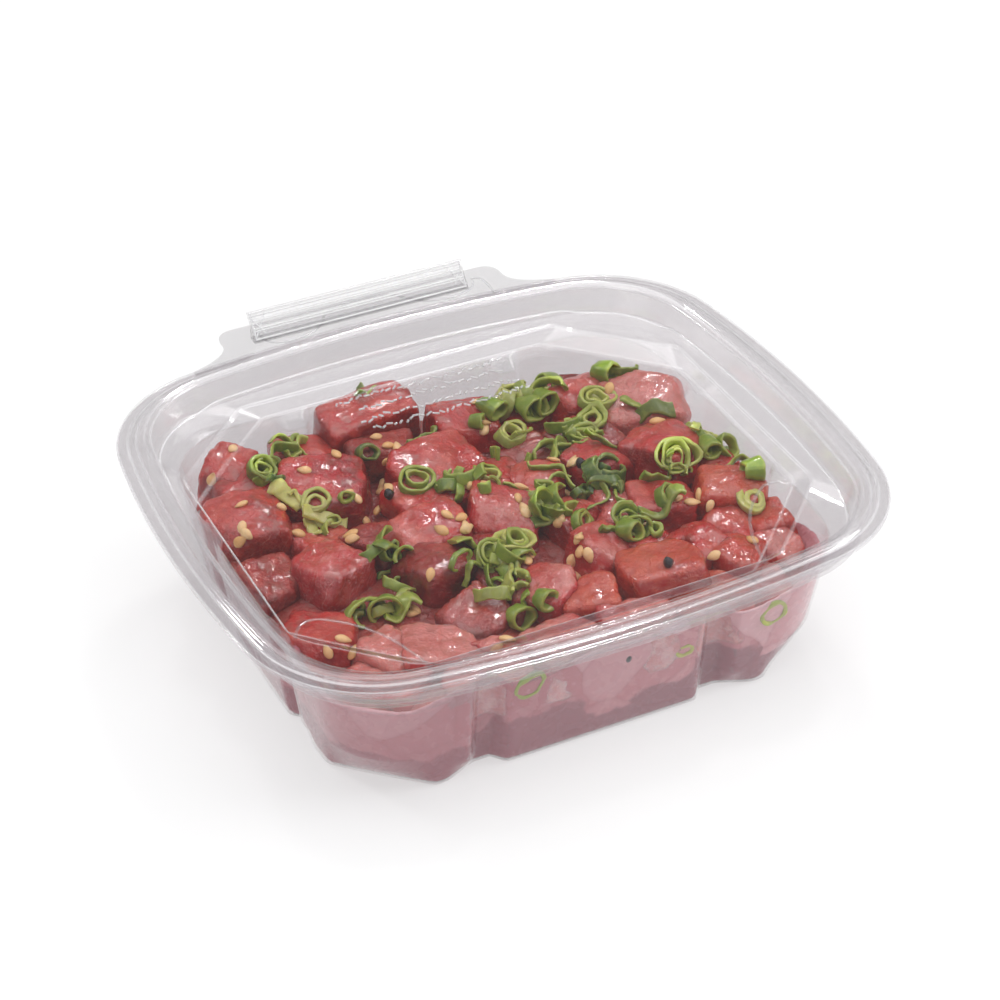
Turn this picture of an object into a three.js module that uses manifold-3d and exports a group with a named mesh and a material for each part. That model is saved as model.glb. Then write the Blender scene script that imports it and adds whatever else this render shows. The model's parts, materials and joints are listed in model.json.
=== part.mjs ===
// Tuna poke bowl: diced raw tuna in a clear hinged deli tray with its lid snapped shut.
// Units are millimetres. The tray stands on z = 0 with its base centred on the origin.
// The long sides run along X, the hinge and its tear strip are on the +Y side.
import * as THREE from 'three';
import { mergeVertices } from 'three/addons/utils/BufferGeometryUtils.js';
import Module from 'manifold-3d';

const wasm = await Module();
wasm.setup();

// ---- driving sizes of the pack ----
const RIM_X = 92.0;          // half length of the rim, 184 mm overall
const RIM_Y = 81.1;          // half width of the rim, 162 mm overall
const RIM_BOW_LONG = 3.5;    // how far the long sides of the rim bulge out
const RIM_BOW_SHORT = 2.7;   // how far the short sides of the rim bulge out
const RIM_CORNER = 37.3;     // corner radius of the rim
const RIM_TOP = 47.6;        // top face of the lid's flat rim
const SHEET_LID = 0.5;       // thickness of the lid sheet
const SHEET_TRAY = 0.7;      // thickness of the tray sheet
const GAP = 0.3;             // clear space between touching pieces

const BASE_X = 69.7;         // half length of the tray at its base
const BASE_Y = 60.7;         // half width of the tray at its base
const BASE_BOW_SHORT = 1.4;  // bulge of the short walls
const BASE_CUT = 21.0;       // leg of the corner cut at the base, straight there and round above
const DRAFT = 0.1325;        // outward lean of the walls, per mm of height
const SHOULDER_Z = 34.5;     // where the walls end and the shoulder begins
const FLUTE_DEPTH = 3.8;     // depth of the two upright flutes in each long wall
const FLUTE_DEPTH_END = 2.4; // depth of the two upright flutes in each short wall
const FLUTE_LONG = [27.1, 30.1, 34.9, 37.9];  // lip, floor, floor, lip along X
const FLUTE_END = [18.5, 21.0, 25.5, 28.0];   // lip, floor, floor, lip along Y
const TOE_LONG = 43.5;       // where the foot bevel beside a long-wall flute begins
const TOE_END = 33.5;        // the same beside a short-wall flute
const TOE_IN = 2.7;          // how far the foot bevel leans in at the base

const PANEL_X = 74.6;        // half length of the lid's sunken panel at its top edge
const PANEL_Y = 63.0;        // half width of the lid's sunken panel at its top edge
const PANEL_CUT = 25.8;      // leg of the panel's 45 degree corners
const LEDGE_DROP = 5.6;      // depth of the ledge around the panel, below the rim
const PANEL_DROP = 9.9;      // depth of the panel floor below the rim
const POCKET_DROP = 1.6;     // extra depth of the ledge at the four corners

const TAB_X = 43.8;          // half length of the hinge tab
const TAB_Y = 93.4;          // reach of the hinge tab from the centre
const STRIP_X = 33.3;        // half length of the folded tear strip
const STRIP_SHIFT = -2.2;    // the strip sits slightly to the left of centre
const STRIP_HIGH = 7.6;      // height of the strip above the rim

const LAYER_TOP = 15.2;      // mean height of the lower layer of dices
const DICE_FOOT = 16.9;      // height at which the upper dices rest on the lower layer

const CORNER_STEPS = 5;      // straight steps in each corner arc

// ---- one ring of the pack: a rounded rectangle with bowed sides ----
// round = 1 gives a full corner arc and round = 0 a straight 45 degree cut.
function quadrant(o) {
  const ca = o.x - o.corner;
  const cb = o.y - o.corner;
  const bowLong = Math.max(o.bowLong ?? 0, 0.01);
  const bowShort = Math.max(o.bowShort ?? 0, 0.01);
  const cx = ca - bowShort;
  const cy = cb - bowLong;
  const radiusLong = (cx * cx + bowLong * bowLong) / (2 * bowLong);
  const radiusShort = (cy * cy + bowShort * bowShort) / (2 * bowShort);
  const a0 = Math.asin(cy / radiusShort);
  const a1 = Math.PI / 2 - Math.asin(cx / radiusLong);
  const onShort = (y) => ca - radiusShort + Math.sqrt((radiusShort + o.corner) ** 2 - y * y);
  const onLong = (x) => cb - radiusLong + Math.sqrt((radiusLong + o.corner) ** 2 - x * x);
  const points = [];
  for (const [y, inward] of o.shortStations(o)) {
    points.push([onShort(y) - inward, y]);
  }
  const start = [cx + o.corner * Math.cos(a0), cy + o.corner * Math.sin(a0)];
  const end = [cx + o.corner * Math.cos(a1), cy + o.corner * Math.sin(a1)];
  const round = o.round ?? 1;
  for (let k = 0; k <= CORNER_STEPS; k += 1) {
    const t = k / CORNER_STEPS;
    const a = a0 + (a1 - a0) * t;
    const arc = [cx + o.corner * Math.cos(a), cy + o.corner * Math.sin(a)];
    const chord = [start[0] + (end[0] - start[0]) * t, start[1] + (end[1] - start[1]) * t];
    points.push([chord[0] + (arc[0] - chord[0]) * round, chord[1] + (arc[1] - chord[1]) * round]);
  }
  for (const [x, inward] of o.longStations(o).reverse()) {
    points.push([x, onLong(x) - inward]);
  }
  return points;
}

function ring(o) {
  const q = quadrant(o);
  const cornerFrom = o.shortStations(o).length;
  const last = q.length - 1;
  const out = [];
  const place = (i, sx, sy) => {
    const mid = (i - cornerFrom) / CORNER_STEPS;
    const inCorner = mid > 0.05 && mid < 0.95;
    const drop = inCorner ? o.cornerDrop ?? 0 : 0;
    out.push([q[i][0] * sx, q[i][1] * sy, o.z - drop]);
  };
  for (let i = 0; i < last; i += 1) {
    place(i, 1, 1);
  }
  for (let i = last; i > 0; i -= 1) {
    place(i, -1, 1);
  }
  for (let i = 0; i < last; i += 1) {
    place(i, -1, -1);
  }
  for (let i = last; i > 0; i -= 1) {
    place(i, 1, -1);
  }
  return out;
}

// ---- a closed body lofted through rings, capped by a fan at both ends ----
function loft(rings) {
  const n = rings[0].length;
  const position = [];
  const index = [];
  for (const r of rings) {
    for (const p of r) {
      position.push(p[0], p[1], p[2]);
    }
  }
  const first = position.length / 3;
  position.push(0, 0, rings[0][0][2]);
  position.push(0, 0, rings[rings.length - 1][0][2]);
  for (let j = 0; j < n; j += 1) {
    const k = (j + 1) % n;
    index.push(first, k, j);
    const b = (rings.length - 1) * n;
    index.push(first + 1, b + j, b + k);
    for (let i = 0; i + 1 < rings.length; i += 1) {
      const p = i * n;
      const q = p + n;
      index.push(p + j, p + k, q + k, p + j, q + k, q + j);
    }
  }
  const geometry = new THREE.BufferGeometry();
  geometry.setAttribute('position', new THREE.Float32BufferAttribute(position, 3));
  geometry.setIndex(index);
  if (signedVolume(geometry) < 0) {
    const flipped = [];
    for (let i = 0; i < index.length; i += 3) {
      flipped.push(index[i], index[i + 2], index[i + 1]);
    }
    geometry.setIndex(flipped);
  }
  return geometry;
}

function signedVolume(geometry) {
  const p = geometry.getAttribute('position');
  const index = geometry.getIndex();
  const a = new THREE.Vector3();
  const b = new THREE.Vector3();
  const c = new THREE.Vector3();
  let sum = 0;
  for (let i = 0; i < index.count; i += 3) {
    a.fromBufferAttribute(p, index.getX(i));
    b.fromBufferAttribute(p, index.getX(i + 1));
    c.fromBufferAttribute(p, index.getX(i + 2));
    sum += a.dot(b.cross(c)) / 6;
  }
  return sum;
}

// ---- joining and cutting ----
function solid(geometry) {
  const bare = geometry.clone();
  for (const name of Object.keys(bare.attributes)) {
    if (name !== 'position') {
      bare.deleteAttribute(name);
    }
  }
  const merged = mergeVertices(bare, 1e-4);
  return new wasm.Manifold(new wasm.Mesh({
    numProp: 3,
    vertProperties: new Float32Array(merged.getAttribute('position').array),
    triVerts: new Uint32Array(merged.getIndex().array),
  }));
}

function geometryOf(manifold) {
  const mesh = manifold.getMesh();
  const geometry = new THREE.BufferGeometry();
  geometry.setAttribute('position', new THREE.Float32BufferAttribute(mesh.vertProperties, 3));
  geometry.setIndex(Array.from(mesh.triVerts));
  return mergeVertices(geometry, 1e-3);
}

// The largest connected body of a cut piece; crumbs left by a cut are dropped.
function largestBody(geometry) {
  const index = geometry.getIndex();
  const parent = Array.from({ length: geometry.getAttribute('position').count }, (_, i) => i);
  const find = (i) => {
    let r = i;
    while (parent[r] !== r) {
      parent[r] = parent[parent[r]];
      r = parent[r];
    }
    return r;
  };
  for (let i = 0; i < index.count; i += 3) {
    const r = find(index.getX(i));
    parent[find(index.getX(i + 1))] = r;
    parent[find(index.getX(i + 2))] = r;
  }
  const groups = new Map();
  for (let i = 0; i < index.count; i += 3) {
    const r = find(index.getX(i));
    if (!groups.has(r)) {
      groups.set(r, []);
    }
    const a = index.getX(i);
    const b = index.getX(i + 1);
    const c = index.getX(i + 2);
    if (a !== b && b !== c && a !== c) {
      groups.get(r).push(a, b, c);
    }
  }
  let best = null;
  let bestVolume = -1;
  for (const triangles of groups.values()) {
    const body = new THREE.BufferGeometry();
    body.setAttribute('position', geometry.getAttribute('position').clone());
    body.setIndex(triangles);
    const volume = signedVolume(body);
    if (volume > bestVolume) {
      best = body;
      bestVolume = volume;
    }
  }
  return mergeVertices(best.toNonIndexed(), 1e-3);
}

// ---- the tray ----
function trayRing(z, options = {}) {
  const inset = options.inset ?? 0;
  const lean = DRAFT * z;
  const flute = options.flute ?? 1;
  const toe = options.toe ?? 0;
  return ring({
    z,
    x: BASE_X + lean - inset,
    y: BASE_Y + lean - inset,
    corner: BASE_CUT + lean * 0.3 - inset * 0.3,
    round: options.round ?? 0.06,
    bowShort: BASE_BOW_SHORT,
    shortStations: () => [
      [0, 0],
      [FLUTE_END[0], 0],
      [FLUTE_END[1], flute * FLUTE_DEPTH_END],
      [FLUTE_END[2], flute * FLUTE_DEPTH_END],
      [FLUTE_END[3], toe * 0.6],
      [TOE_END, 0],
    ],
    longStations: () => [
      [0, 0],
      [FLUTE_LONG[0], 0],
      [FLUTE_LONG[1], flute * FLUTE_DEPTH],
      [FLUTE_LONG[2], flute * FLUTE_DEPTH],
      [FLUTE_LONG[3], toe],
      [TOE_LONG, 0],
    ],
  });
}

// A ring that follows the rim, set in by its own amount on the short and the long sides.
function rimRing(inShort, inLong, z, plain = false, extra = {}) {
  const even = (length) => [[0, 0], [length * 0.36, 0], [length * 0.7, 0]];
  const mean = (inShort + inLong) / 2;
  return ring({
    z,
    x: RIM_X - inShort,
    y: RIM_Y - inLong,
    corner: RIM_CORNER - mean,
    bowLong: RIM_BOW_LONG,
    bowShort: RIM_BOW_SHORT,
    shortStations: () => (plain
      ? even(RIM_Y - RIM_CORNER)
      : [...[0, ...FLUTE_END, TOE_END].map((y) => [y, 0])]),
    longStations: () => (plain
      ? even(RIM_X - RIM_CORNER)
      : [...[0, ...FLUTE_LONG, TOE_LONG].map((x) => [x, 0])]),
    ...extra,
  });
}

const TRAY_RIM_TOP = RIM_TOP - SHEET_LID - GAP;
const TRAY_RIM_LOW = TRAY_RIM_TOP - 0.5;
const COLLAR_LOW = RIM_TOP - 9.6;

function trayGeometry() {
  const t = SHEET_TRAY;
  const inside = [
    trayRing(t, { inset: t + 1.4, toe: TOE_IN }),
    trayRing(t + 0.6, { inset: t + 0.3, toe: TOE_IN * 0.9 }),
    trayRing(6.0, { inset: t, round: 0.55 }),
    trayRing(12.0, { inset: t, round: 0.95 }),
    trayRing(SHOULDER_Z - 3.0, { inset: t, round: 1 }),
    trayRing(SHOULDER_Z + 0.6, { inset: t - 0.2, flute: 0.25, round: 1 }),
    rimRing(12.6, 10.8, SHOULDER_Z + 2.6),
    rimRing(8.1, 6.1, COLLAR_LOW + 0.7),
    rimRing(6.7, 5.0, TRAY_RIM_TOP - 0.4),
    rimRing(5.4, 4.25, TRAY_RIM_TOP + 0.9),
    rimRing(3.4, 3.3, TRAY_RIM_TOP),
  ];
  const outside = [
    rimRing(0, 0, TRAY_RIM_TOP),
    rimRing(0, 0, TRAY_RIM_LOW),
    rimRing(6.0, 4.3, TRAY_RIM_LOW),
    rimRing(7.2, 5.4, COLLAR_LOW + 0.2),
    rimRing(12.8, 11.0, SHOULDER_Z + 1.9),
    trayRing(SHOULDER_Z, { flute: 0.25, round: 1 }),
    trayRing(SHOULDER_Z - 3.4, { round: 1 }),
    trayRing(12.0, { round: 0.95 }),
    trayRing(6.0, { round: 0.55 }),
    trayRing(1.0, { toe: TOE_IN }),
    trayRing(0, { inset: 1.0, toe: TOE_IN }),
  ];
  return loft([...inside, ...outside]);
}

// ---- the lid ----
// Section of the lid from the rim edge inwards: inset on the short sides, inset on the
// long sides and height above the rim's top face.
const LID_SECTION = [
  [0, 0, 0],
  [3.0, 3.0, 0],
  [4.1, 3.8, 0.9],
  [5.6, 4.7, 1.4],
  [8.2, 5.8, 1.3],
  [9.9, 7.0, 0.4],
  [11.6, 8.8, -LEDGE_DROP],
];

function panelRing(inset, z, cut, drop = 0) {
  const even = (length) => [[0, 0], [length * 0.36, 0], [length * 0.7, 0]];
  return ring({
    z,
    x: PANEL_X - inset,
    y: PANEL_Y - inset,
    corner: cut,
    round: 0.04,
    cornerDrop: drop,
    shortStations: () => even(PANEL_Y - PANEL_CUT),
    longStations: () => even(PANEL_X - PANEL_CUT),
  });
}

function lidGeometry() {
  const t = SHEET_LID;
  const top = LID_SECTION.map(([a, b, z], i) => (
    rimRing(a, b, RIM_TOP + z, true, i === 6 ? { cornerDrop: POCKET_DROP } : {})));
  top.push(panelRing(0, RIM_TOP - LEDGE_DROP, PANEL_CUT, POCKET_DROP * 0.6));
  top.push(panelRing(1.5, RIM_TOP - PANEL_DROP, PANEL_CUT + 4.6));
  const under = [
    rimRing(0, 0, RIM_TOP - t, true),
    rimRing(3.2, 3.2, RIM_TOP - t, true),
    rimRing(4.3, 4.0, RIM_TOP + 0.9 - t, true),
    rimRing(5.7, 4.8, RIM_TOP + 1.4 - t, true),
    rimRing(8.0, 5.6, RIM_TOP + 1.3 - t, true),
    rimRing(9.5, 6.6, RIM_TOP + 0.3 - t, true),
    rimRing(11.1, 8.3, RIM_TOP - LEDGE_DROP - t, true, { cornerDrop: POCKET_DROP }),
    panelRing(0.4, RIM_TOP - LEDGE_DROP - t, PANEL_CUT, POCKET_DROP * 0.6),
    panelRing(1.8, RIM_TOP - PANEL_DROP - t, PANEL_CUT + 4.6),
  ];
  return loft([...under.reverse(), ...top]);
}

// The hinge tab: a flat plate beyond the far rim with round corners and flared roots.
function tabGeometry() {
  const shape = new THREE.Shape();
  const end = TAB_X + 12;
  const edge = RIM_Y - 3.8;
  shape.moveTo(-end, edge - 2.1);
  shape.lineTo(-TAB_X, edge - 0.7);
  shape.lineTo(-TAB_X * 0.45, edge + 1.1);
  shape.lineTo(TAB_X * 0.45, edge + 1.1);
  shape.lineTo(TAB_X, edge - 0.7);
  shape.lineTo(end, edge - 2.1);
  shape.lineTo(end, edge);
  shape.quadraticCurveTo(TAB_X + 0.6, RIM_Y - 0.4, TAB_X, RIM_Y + 5);
  shape.lineTo(TAB_X, TAB_Y - 5.5);
  shape.quadraticCurveTo(TAB_X, TAB_Y, TAB_X - 5.5, TAB_Y);
  shape.lineTo(-TAB_X + 5.5, TAB_Y);
  shape.quadraticCurveTo(-TAB_X, TAB_Y, -TAB_X, TAB_Y - 5.5);
  shape.lineTo(-TAB_X, RIM_Y + 5);
  shape.quadraticCurveTo(-TAB_X - 0.6, RIM_Y - 0.4, -end, edge);
  const geometry = new THREE.ExtrudeGeometry(shape, {
    depth: SHEET_LID - 0.02,
    bevelEnabled: false,
    curveSegments: 6,
  });
  geometry.translate(0, 0, RIM_TOP - SHEET_LID + 0.01);
  return geometry;
}

// The folded tear strip: a thin web that leans outward, on a narrow foot.
function stripGeometry() {
  const foot = RIM_TOP + GAP;
  const y0 = 82.6;
  const lean = 5.0;
  const steps = 5;
  const section = [[y0, foot], [y0 + 3.4, foot], [y0 + 3.4, foot + 0.5]];
  for (let i = 0; i <= steps; i += 1) {
    const t = i / steps;
    const wave = i % 2 === 1 ? 0.22 : 0;
    section.push([y0 + 1.1 + lean * t + wave, foot + 0.5 + (STRIP_HIGH - 0.8) * t]);
  }
  for (let i = steps; i >= 0; i -= 1) {
    const t = i / steps;
    const wave = i % 2 === 1 ? 0.22 : 0;
    section.push([y0 + 0.3 + lean * t + wave, foot + 0.7 + (STRIP_HIGH - 0.8) * t]);
  }
  const shape = new THREE.Shape(section.map(([y, z]) => new THREE.Vector2(y, z)));
  const geometry = new THREE.ExtrudeGeometry(shape, {
    depth: 2 * STRIP_X,
    bevelEnabled: false,
  });
  const m = new THREE.Matrix4().set(
    0, 0, 1, STRIP_SHIFT - STRIP_X,
    1, 0, 0, 0,
    0, 1, 0, 0,
    0, 0, 0, 1,
  );
  geometry.applyMatrix4(m);
  return geometry;
}

// ---- the diced tuna ----
// Repeatable random numbers, one stream per dice.
function randomStream(seed) {
  let s = (seed * 2654435761) % 4294967296;
  return () => {
    s = (s * 1664525 + 1013904223) % 4294967296;
    return s / 4294967296;
  };
}

// A hand-cut dice: a box with uneven corners and a slight skew. The prominent ones have
// faces that swell a little, the plain ones tucked between them have flat faces.
function dice(d, grow = 0) {
  const random = randomStream(d.seed);
  const n = d.plain ? 1 : 2;
  const geometry = new THREE.BoxGeometry(2, 2, 2, n, n, n);
  const bare = new THREE.BufferGeometry();
  bare.setAttribute('position', geometry.getAttribute('position').clone());
  bare.setIndex(geometry.getIndex());
  const merged = mergeVertices(bare, 1e-4);
  const p = merged.getAttribute('position');
  const skew = [(random() - 0.5) * 0.24, (random() - 0.5) * 0.24, (random() - 0.5) * 0.2];
  const v = new THREE.Vector3();
  for (let i = 0; i < p.count; i += 1) {
    v.fromBufferAttribute(p, i);
    const reach = (Math.abs(v.x) ** 8 + Math.abs(v.y) ** 8 + Math.abs(v.z) ** 8) ** (1 / 8);
    v.multiplyScalar(1 / reach);
    v.x *= 1 + (random() - 0.5) * 0.15;
    v.y *= 1 + (random() - 0.5) * 0.15;
    v.z *= 1 + (random() - 0.5) * 0.13;
    v.x += skew[0] * v.z;
    v.y += skew[1] * v.z + skew[2] * v.x;
    v.x *= d.size[0] / 2 + grow;
    v.y *= d.size[1] / 2 + grow;
    v.z *= d.size[2] / 2 + grow;
    p.setXYZ(i, v.x, v.y, v.z);
  }
  const deg = Math.PI / 180;
  merged.applyMatrix4(new THREE.Matrix4().makeRotationFromEuler(
    new THREE.Euler(d.tilt[0] * deg, d.tilt[1] * deg, d.turn * deg, 'ZYX'),
  ));
  merged.computeBoundingBox();
  merged.translate(d.at[0], d.at[1], d.top - merged.boundingBox.max.z + grow);
  return merged;
}

// The space that the upper dices may fill: inside the tray walls and under the lid's panel.
const FOOD_CEILING = RIM_TOP - PANEL_DROP - SHEET_LID - GAP;
function upperSpace() {
  const t = SHEET_TRAY + GAP;
  return solid(loft([
    trayRing(DICE_FOOT, { inset: t, round: 1 }),
    trayRing(SHOULDER_Z - 3.0, { inset: t, round: 1 }),
    trayRing(FOOD_CEILING, { inset: t + 0.4, flute: 0.4, round: 1 }),
  ]));
}

// The lower layer of dices, pressed together and against the walls, is one solid with an
// uneven top.
function lowerLayer() {
  const t = SHEET_TRAY + GAP;
  const uneven = (x, y) => 0.8 * Math.sin(x / 8 + 1) * Math.cos(y / 7) + 0.5 * Math.sin(y / 11 + x / 17);
  const lift = (points, scale, base) => points.map(([x, y]) => {
    const u = x * scale;
    const v = y * scale;
    return [u, v, base + uneven(u, v)];
  });
  const edge = trayRing(LAYER_TOP, { inset: t, round: 1 });
  return loft([
    trayRing(t, { inset: t + 1.7, toe: TOE_IN }),
    trayRing(t + 0.6, { inset: t + 0.6, toe: TOE_IN * 0.9 }),
    trayRing(6.0, { inset: t + 0.1, round: 0.5 }),
    lift(edge, 0.998, LAYER_TOP - 0.6),
    lift(edge, 0.66, LAYER_TOP),
  ]);
}

// Upper dices, most prominent first: name, place, height of the top, size, turn and tilt.
// Each one reaches down to the lower layer.
const PROMINENT = 20;
const DICES = [
  ['back_left_big', -13, 59, 36.6, 30, 15, 8, [6, -4]],
  ['right_rise', 53, 5, 36.6, 21, 20, 30, [-8, 8]],
  ['right_back_flat', 60, 30, 36.0, 26, 20, -18, [10, -6]],
  ['back_right', 45, 40, 34.8, 18, 14, 24, [4, 5]],
  ['middle_ridge', -6, 29, 35.4, 28, 18, 14, [12, 3]],
  ['front_right_smooth', 28, -42, 33.6, 22, 18, -12, [-6, -4]],
  ['left_big', -61, 27, 34.6, 22, 21, -10, [5, -7]],
  ['left_round', -49, -2, 32.6, 18, 17, 20, [-4, 5]],
  ['right_peach', 60, -17, 34.6, 19, 16, -24, [4, 9]],
  ['front_lilac', -2, -34, 32.8, 16, 16, 36, [-9, -8]],
  ['left_back', -37, 32, 35.2, 24, 22, -22, [7, 4]],
  ['middle_dark', -23, -12, 33.4, 20, 18, 12, [-10, 6]],
  ['middle', 2, 1, 34.4, 19, 19, -28, [5, 7]],
  ['middle_back', 10, 44, 34.8, 19, 16, -8, [-5, 6]],
  ['middle_flat', -20, 3, 33.6, 23, 16, 6, [8, -6]],
  ['right_middle', 35, 9, 34.2, 16, 16, 16, [-6, -5]],
  ['middle_right', 15, 9, 33.0, 16, 16, -34, [6, -8]],
  ['right_front', 40, -34, 32.8, 16, 15, 22, [4, -6]],
  ['right_low', 47, -43, 32.4, 16, 14, -42, [-5, 5]],
  ['centre_mauve', 17, -25, 34.0, 13, 15, 10, [6, 10]],
  ['right_inner', 41, -14, 33.0, 18, 16, -14, [-4, 6]],
  ['front_orange', 7, -40, 32.2, 15, 16, -20, [5, -7]],
  ['left_corner', -57, 52, 35.4, 17, 12, 44, [7, 5]],
  ['left_upper', -56, 42, 33.6, 19, 17, -20, [6, -5]],
  ['back_left_low', -34, 53, 32.0, 20, 14, -12, [-6, 4]],
  ['deep_red', 24, 26, 30.6, 20, 17, 26, [8, -10]],
  ['left_low', -64, 4, 30.8, 17, 17, 12, [5, 8]],
  ['left_front', -61, -22, 29.6, 20, 20, -32, [-8, -5]],
  ['front_dark', -22, -34, 30.2, 17, 17, 18, [7, -6]],
  ['front_left', -37, -40, 30.2, 22, 21, -16, [-5, 7]],
  ['front_left_orange', -48, -37, 29.8, 15, 16, 30, [8, 5]],
  ['right_wall', 65, -32, 31.4, 12, 17, -6, [-6, -7]],
  ['right_corner', 61, -42, 30.4, 16, 14, -45, [5, 4]],
  ['left_behind', -32, 5, 31.6, 16, 17, 28, [-7, 6]],
  ['centre_low', -8, -20, 31.8, 17, 17, -12, [9, -5]],
  ['right_centre_low', 17, -7, 31.4, 16, 17, 20, [-8, 7]],
  ['back_middle_low', 31, 45, 30.8, 19, 12, 6, [7, 5]],
  ['right_side_low', 65, -3, 31.2, 12, 17, 8, [5, -8]],
  ['front_a', -51, -44, 28.8, 23, 21, 38, [-7, 5]],
  ['front_b', -29, -53, 29.6, 25, 19, -6, [8, -5]],
  ['front_c', -8, -54, 30.8, 24, 17, 12, [-5, 6]],
  ['front_d', 12, -55, 30.4, 22, 16, -10, [7, 5]],
  ['front_e', 33, -55, 29.8, 22, 17, 16, [-8, -6]],
  ['front_f', 50, -51, 28.6, 19, 16, -30, [5, 8]],
  ['middle_under', -13, 17, 33.2, 25, 14, 10, [6, 4]],
  ['back_gap', -15, 43, 32.4, 21, 12, -6, [-5, 5]],
  ['right_dark', 38, 24, 31.6, 19, 20, 12, [5, -6]],
  ['centre_back', 6, 17, 32.4, 16, 16, -16, [-6, 5]],
  ['left_gap', -46, 15, 30.0, 17, 20, 24, [5, 6]],
  ['centre_gap', -8, -7, 31.0, 16, 16, 18, [-5, -6]],
  ['right_gap', 30, -11, 31.4, 15, 16, -22, [6, 5]],
  ['front_gap', 29, -26, 31.0, 15, 16, 14, [-6, 4]],
  ['right_gap_low', 54, -30, 30.6, 16, 16, 30, [5, -5]],
  ['left_dark', -42, -20, 24.6, 20, 19, 12, [4, -5]],
].map(([name, x, y, top, sx, sy, turn, tilt], i) => (
  {
    name,
    at: [x, y],
    top,
    size: [sx, sy, top - DICE_FOOT + 2.5],
    turn,
    tilt,
    seed: 11 + 7 * i,
    plain: i >= PROMINENT,
  }));

const material = (colour) => new THREE.MeshStandardMaterial({ color: colour, roughness: 0.5 });

const part = new THREE.Group();
part.name = 'tuna_poke_bowl';
function addNode(name, geometry, colour) {
  geometry.computeVertexNormals();
  const mesh = new THREE.Mesh(geometry, material(colour));
  mesh.name = name;
  part.add(mesh);
}

addNode('tray', trayGeometry(), 0xdde2e4);
const lid = solid(lidGeometry()).add(solid(tabGeometry()));
addNode('lid', largestBody(geometryOf(lid)), 0xe4e8ea);
addNode('tear_strip', largestBody(geometryOf(solid(stripGeometry()))), 0xeef0f1);

const space = upperSpace();
const placed = [];
for (const d of DICES) {
  let body = solid(dice(d)).intersect(space);
  for (const other of placed) {
    const reach = (Math.max(...d.size) + Math.max(...other.size)) * 0.9;
    const apart = Math.hypot(d.at[0] - other.at[0], d.at[1] - other.at[1]);
    if (apart < reach) {
      body = body.subtract(solid(dice(other, GAP + 0.05)));
    }
  }
  addNode(`tuna_${d.name}`, largestBody(geometryOf(body)), 0xc8606a);
  placed.push(d);
}
addNode('tuna_bed', lowerLayer(), 0xb8545e);

export default part;
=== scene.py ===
# %% [markdown]
# # A tuna poke bowl in a clear hinged tray
#
# Diced raw tuna fills a clear deli tray. Sliced scallion, sesame seeds and a few black seeds lie
# on the dices, and the domed rim of the lid is snapped shut over them. This script rebuilds the
# looks of the pack around its packed CAD solids: it gives the sheet its fine bends, rounds the
# dices and gives them their grain, adds the toppings, and ends with materials and soft light.
#
# The frame comes first. Everything the script makes lies in the same coordinates, with the
# tray's base on z = 0 and the hinge on the +Y side.

# %% Load the frame
import json
import math

import bmesh
import bpy
import numpy as np
from mathutils import Euler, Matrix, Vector
from mathutils.bvhtree import BVHTree


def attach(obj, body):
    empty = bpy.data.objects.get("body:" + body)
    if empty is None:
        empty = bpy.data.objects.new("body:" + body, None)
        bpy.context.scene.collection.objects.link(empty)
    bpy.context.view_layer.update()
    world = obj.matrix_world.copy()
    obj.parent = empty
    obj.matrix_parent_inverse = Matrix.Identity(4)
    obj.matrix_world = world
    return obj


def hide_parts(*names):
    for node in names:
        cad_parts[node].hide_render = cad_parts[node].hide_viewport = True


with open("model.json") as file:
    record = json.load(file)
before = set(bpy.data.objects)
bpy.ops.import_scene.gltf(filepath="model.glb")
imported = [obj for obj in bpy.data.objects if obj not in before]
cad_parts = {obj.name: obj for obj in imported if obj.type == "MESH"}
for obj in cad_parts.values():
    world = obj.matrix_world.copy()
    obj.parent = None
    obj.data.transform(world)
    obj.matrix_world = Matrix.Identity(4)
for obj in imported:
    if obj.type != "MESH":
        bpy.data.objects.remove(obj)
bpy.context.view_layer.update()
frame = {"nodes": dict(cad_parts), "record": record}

for name in ("Cube", "Light", "Camera"):
    if name in bpy.data.objects:
        bpy.data.objects.remove(bpy.data.objects[name])

MM = 0.001

# %% [markdown]
# ## Sizes
#
# All sizes below are in millimetres. The tray and the lid are thermoformed sheets that share
# one family of outlines: a rectangle with bowed sides and rounded or cut corners.

# %% Sizes
RIM_X, RIM_Y = 92.0, 81.1            # half length and half width of the rim
RIM_BOW_LONG, RIM_BOW_SHORT = 3.5, 2.7
RIM_CORNER = 37.3
RIM_TOP = 47.6
SHEET_LID, SHEET_TRAY, GAP = 0.5, 0.7, 0.3

BASE_X, BASE_Y = 69.7, 60.7          # half length and half width of the base
BASE_BOW_SHORT = 1.4
BASE_CUT = 21.0
DRAFT = 0.1325                       # outward lean of the walls per mm of height
SHOULDER_Z = 34.5
FLUTE_DEPTH, FLUTE_DEPTH_END = 3.8, 2.4
FLUTE_LONG = (27.1, 30.1, 34.9, 37.9)
FLUTE_END = (18.5, 21.0, 25.5, 28.0)
TOE_LONG, TOE_END, TOE_IN = 43.5, 33.5, 2.7

PANEL_X, PANEL_Y, PANEL_CUT = 74.6, 63.0, 25.8
LEDGE_DROP, PANEL_DROP, POCKET_DROP = 5.6, 9.9, 1.6
PANEL_TOP = RIM_TOP - PANEL_DROP
CEILING = PANEL_TOP - SHEET_LID      # underside of the lid's panel

TAB_X, TAB_Y = 43.8, 93.4
STRIP_X, STRIP_SHIFT, STRIP_HIGH = 33.3, -2.2, 7.6
LAYER_TOP = 15.2                     # mean height of the lower layer of dices
print("rim:", 2 * RIM_X, "x", 2 * RIM_Y, "mm; the lid's panel lies at", PANEL_TOP, "mm")

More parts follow.
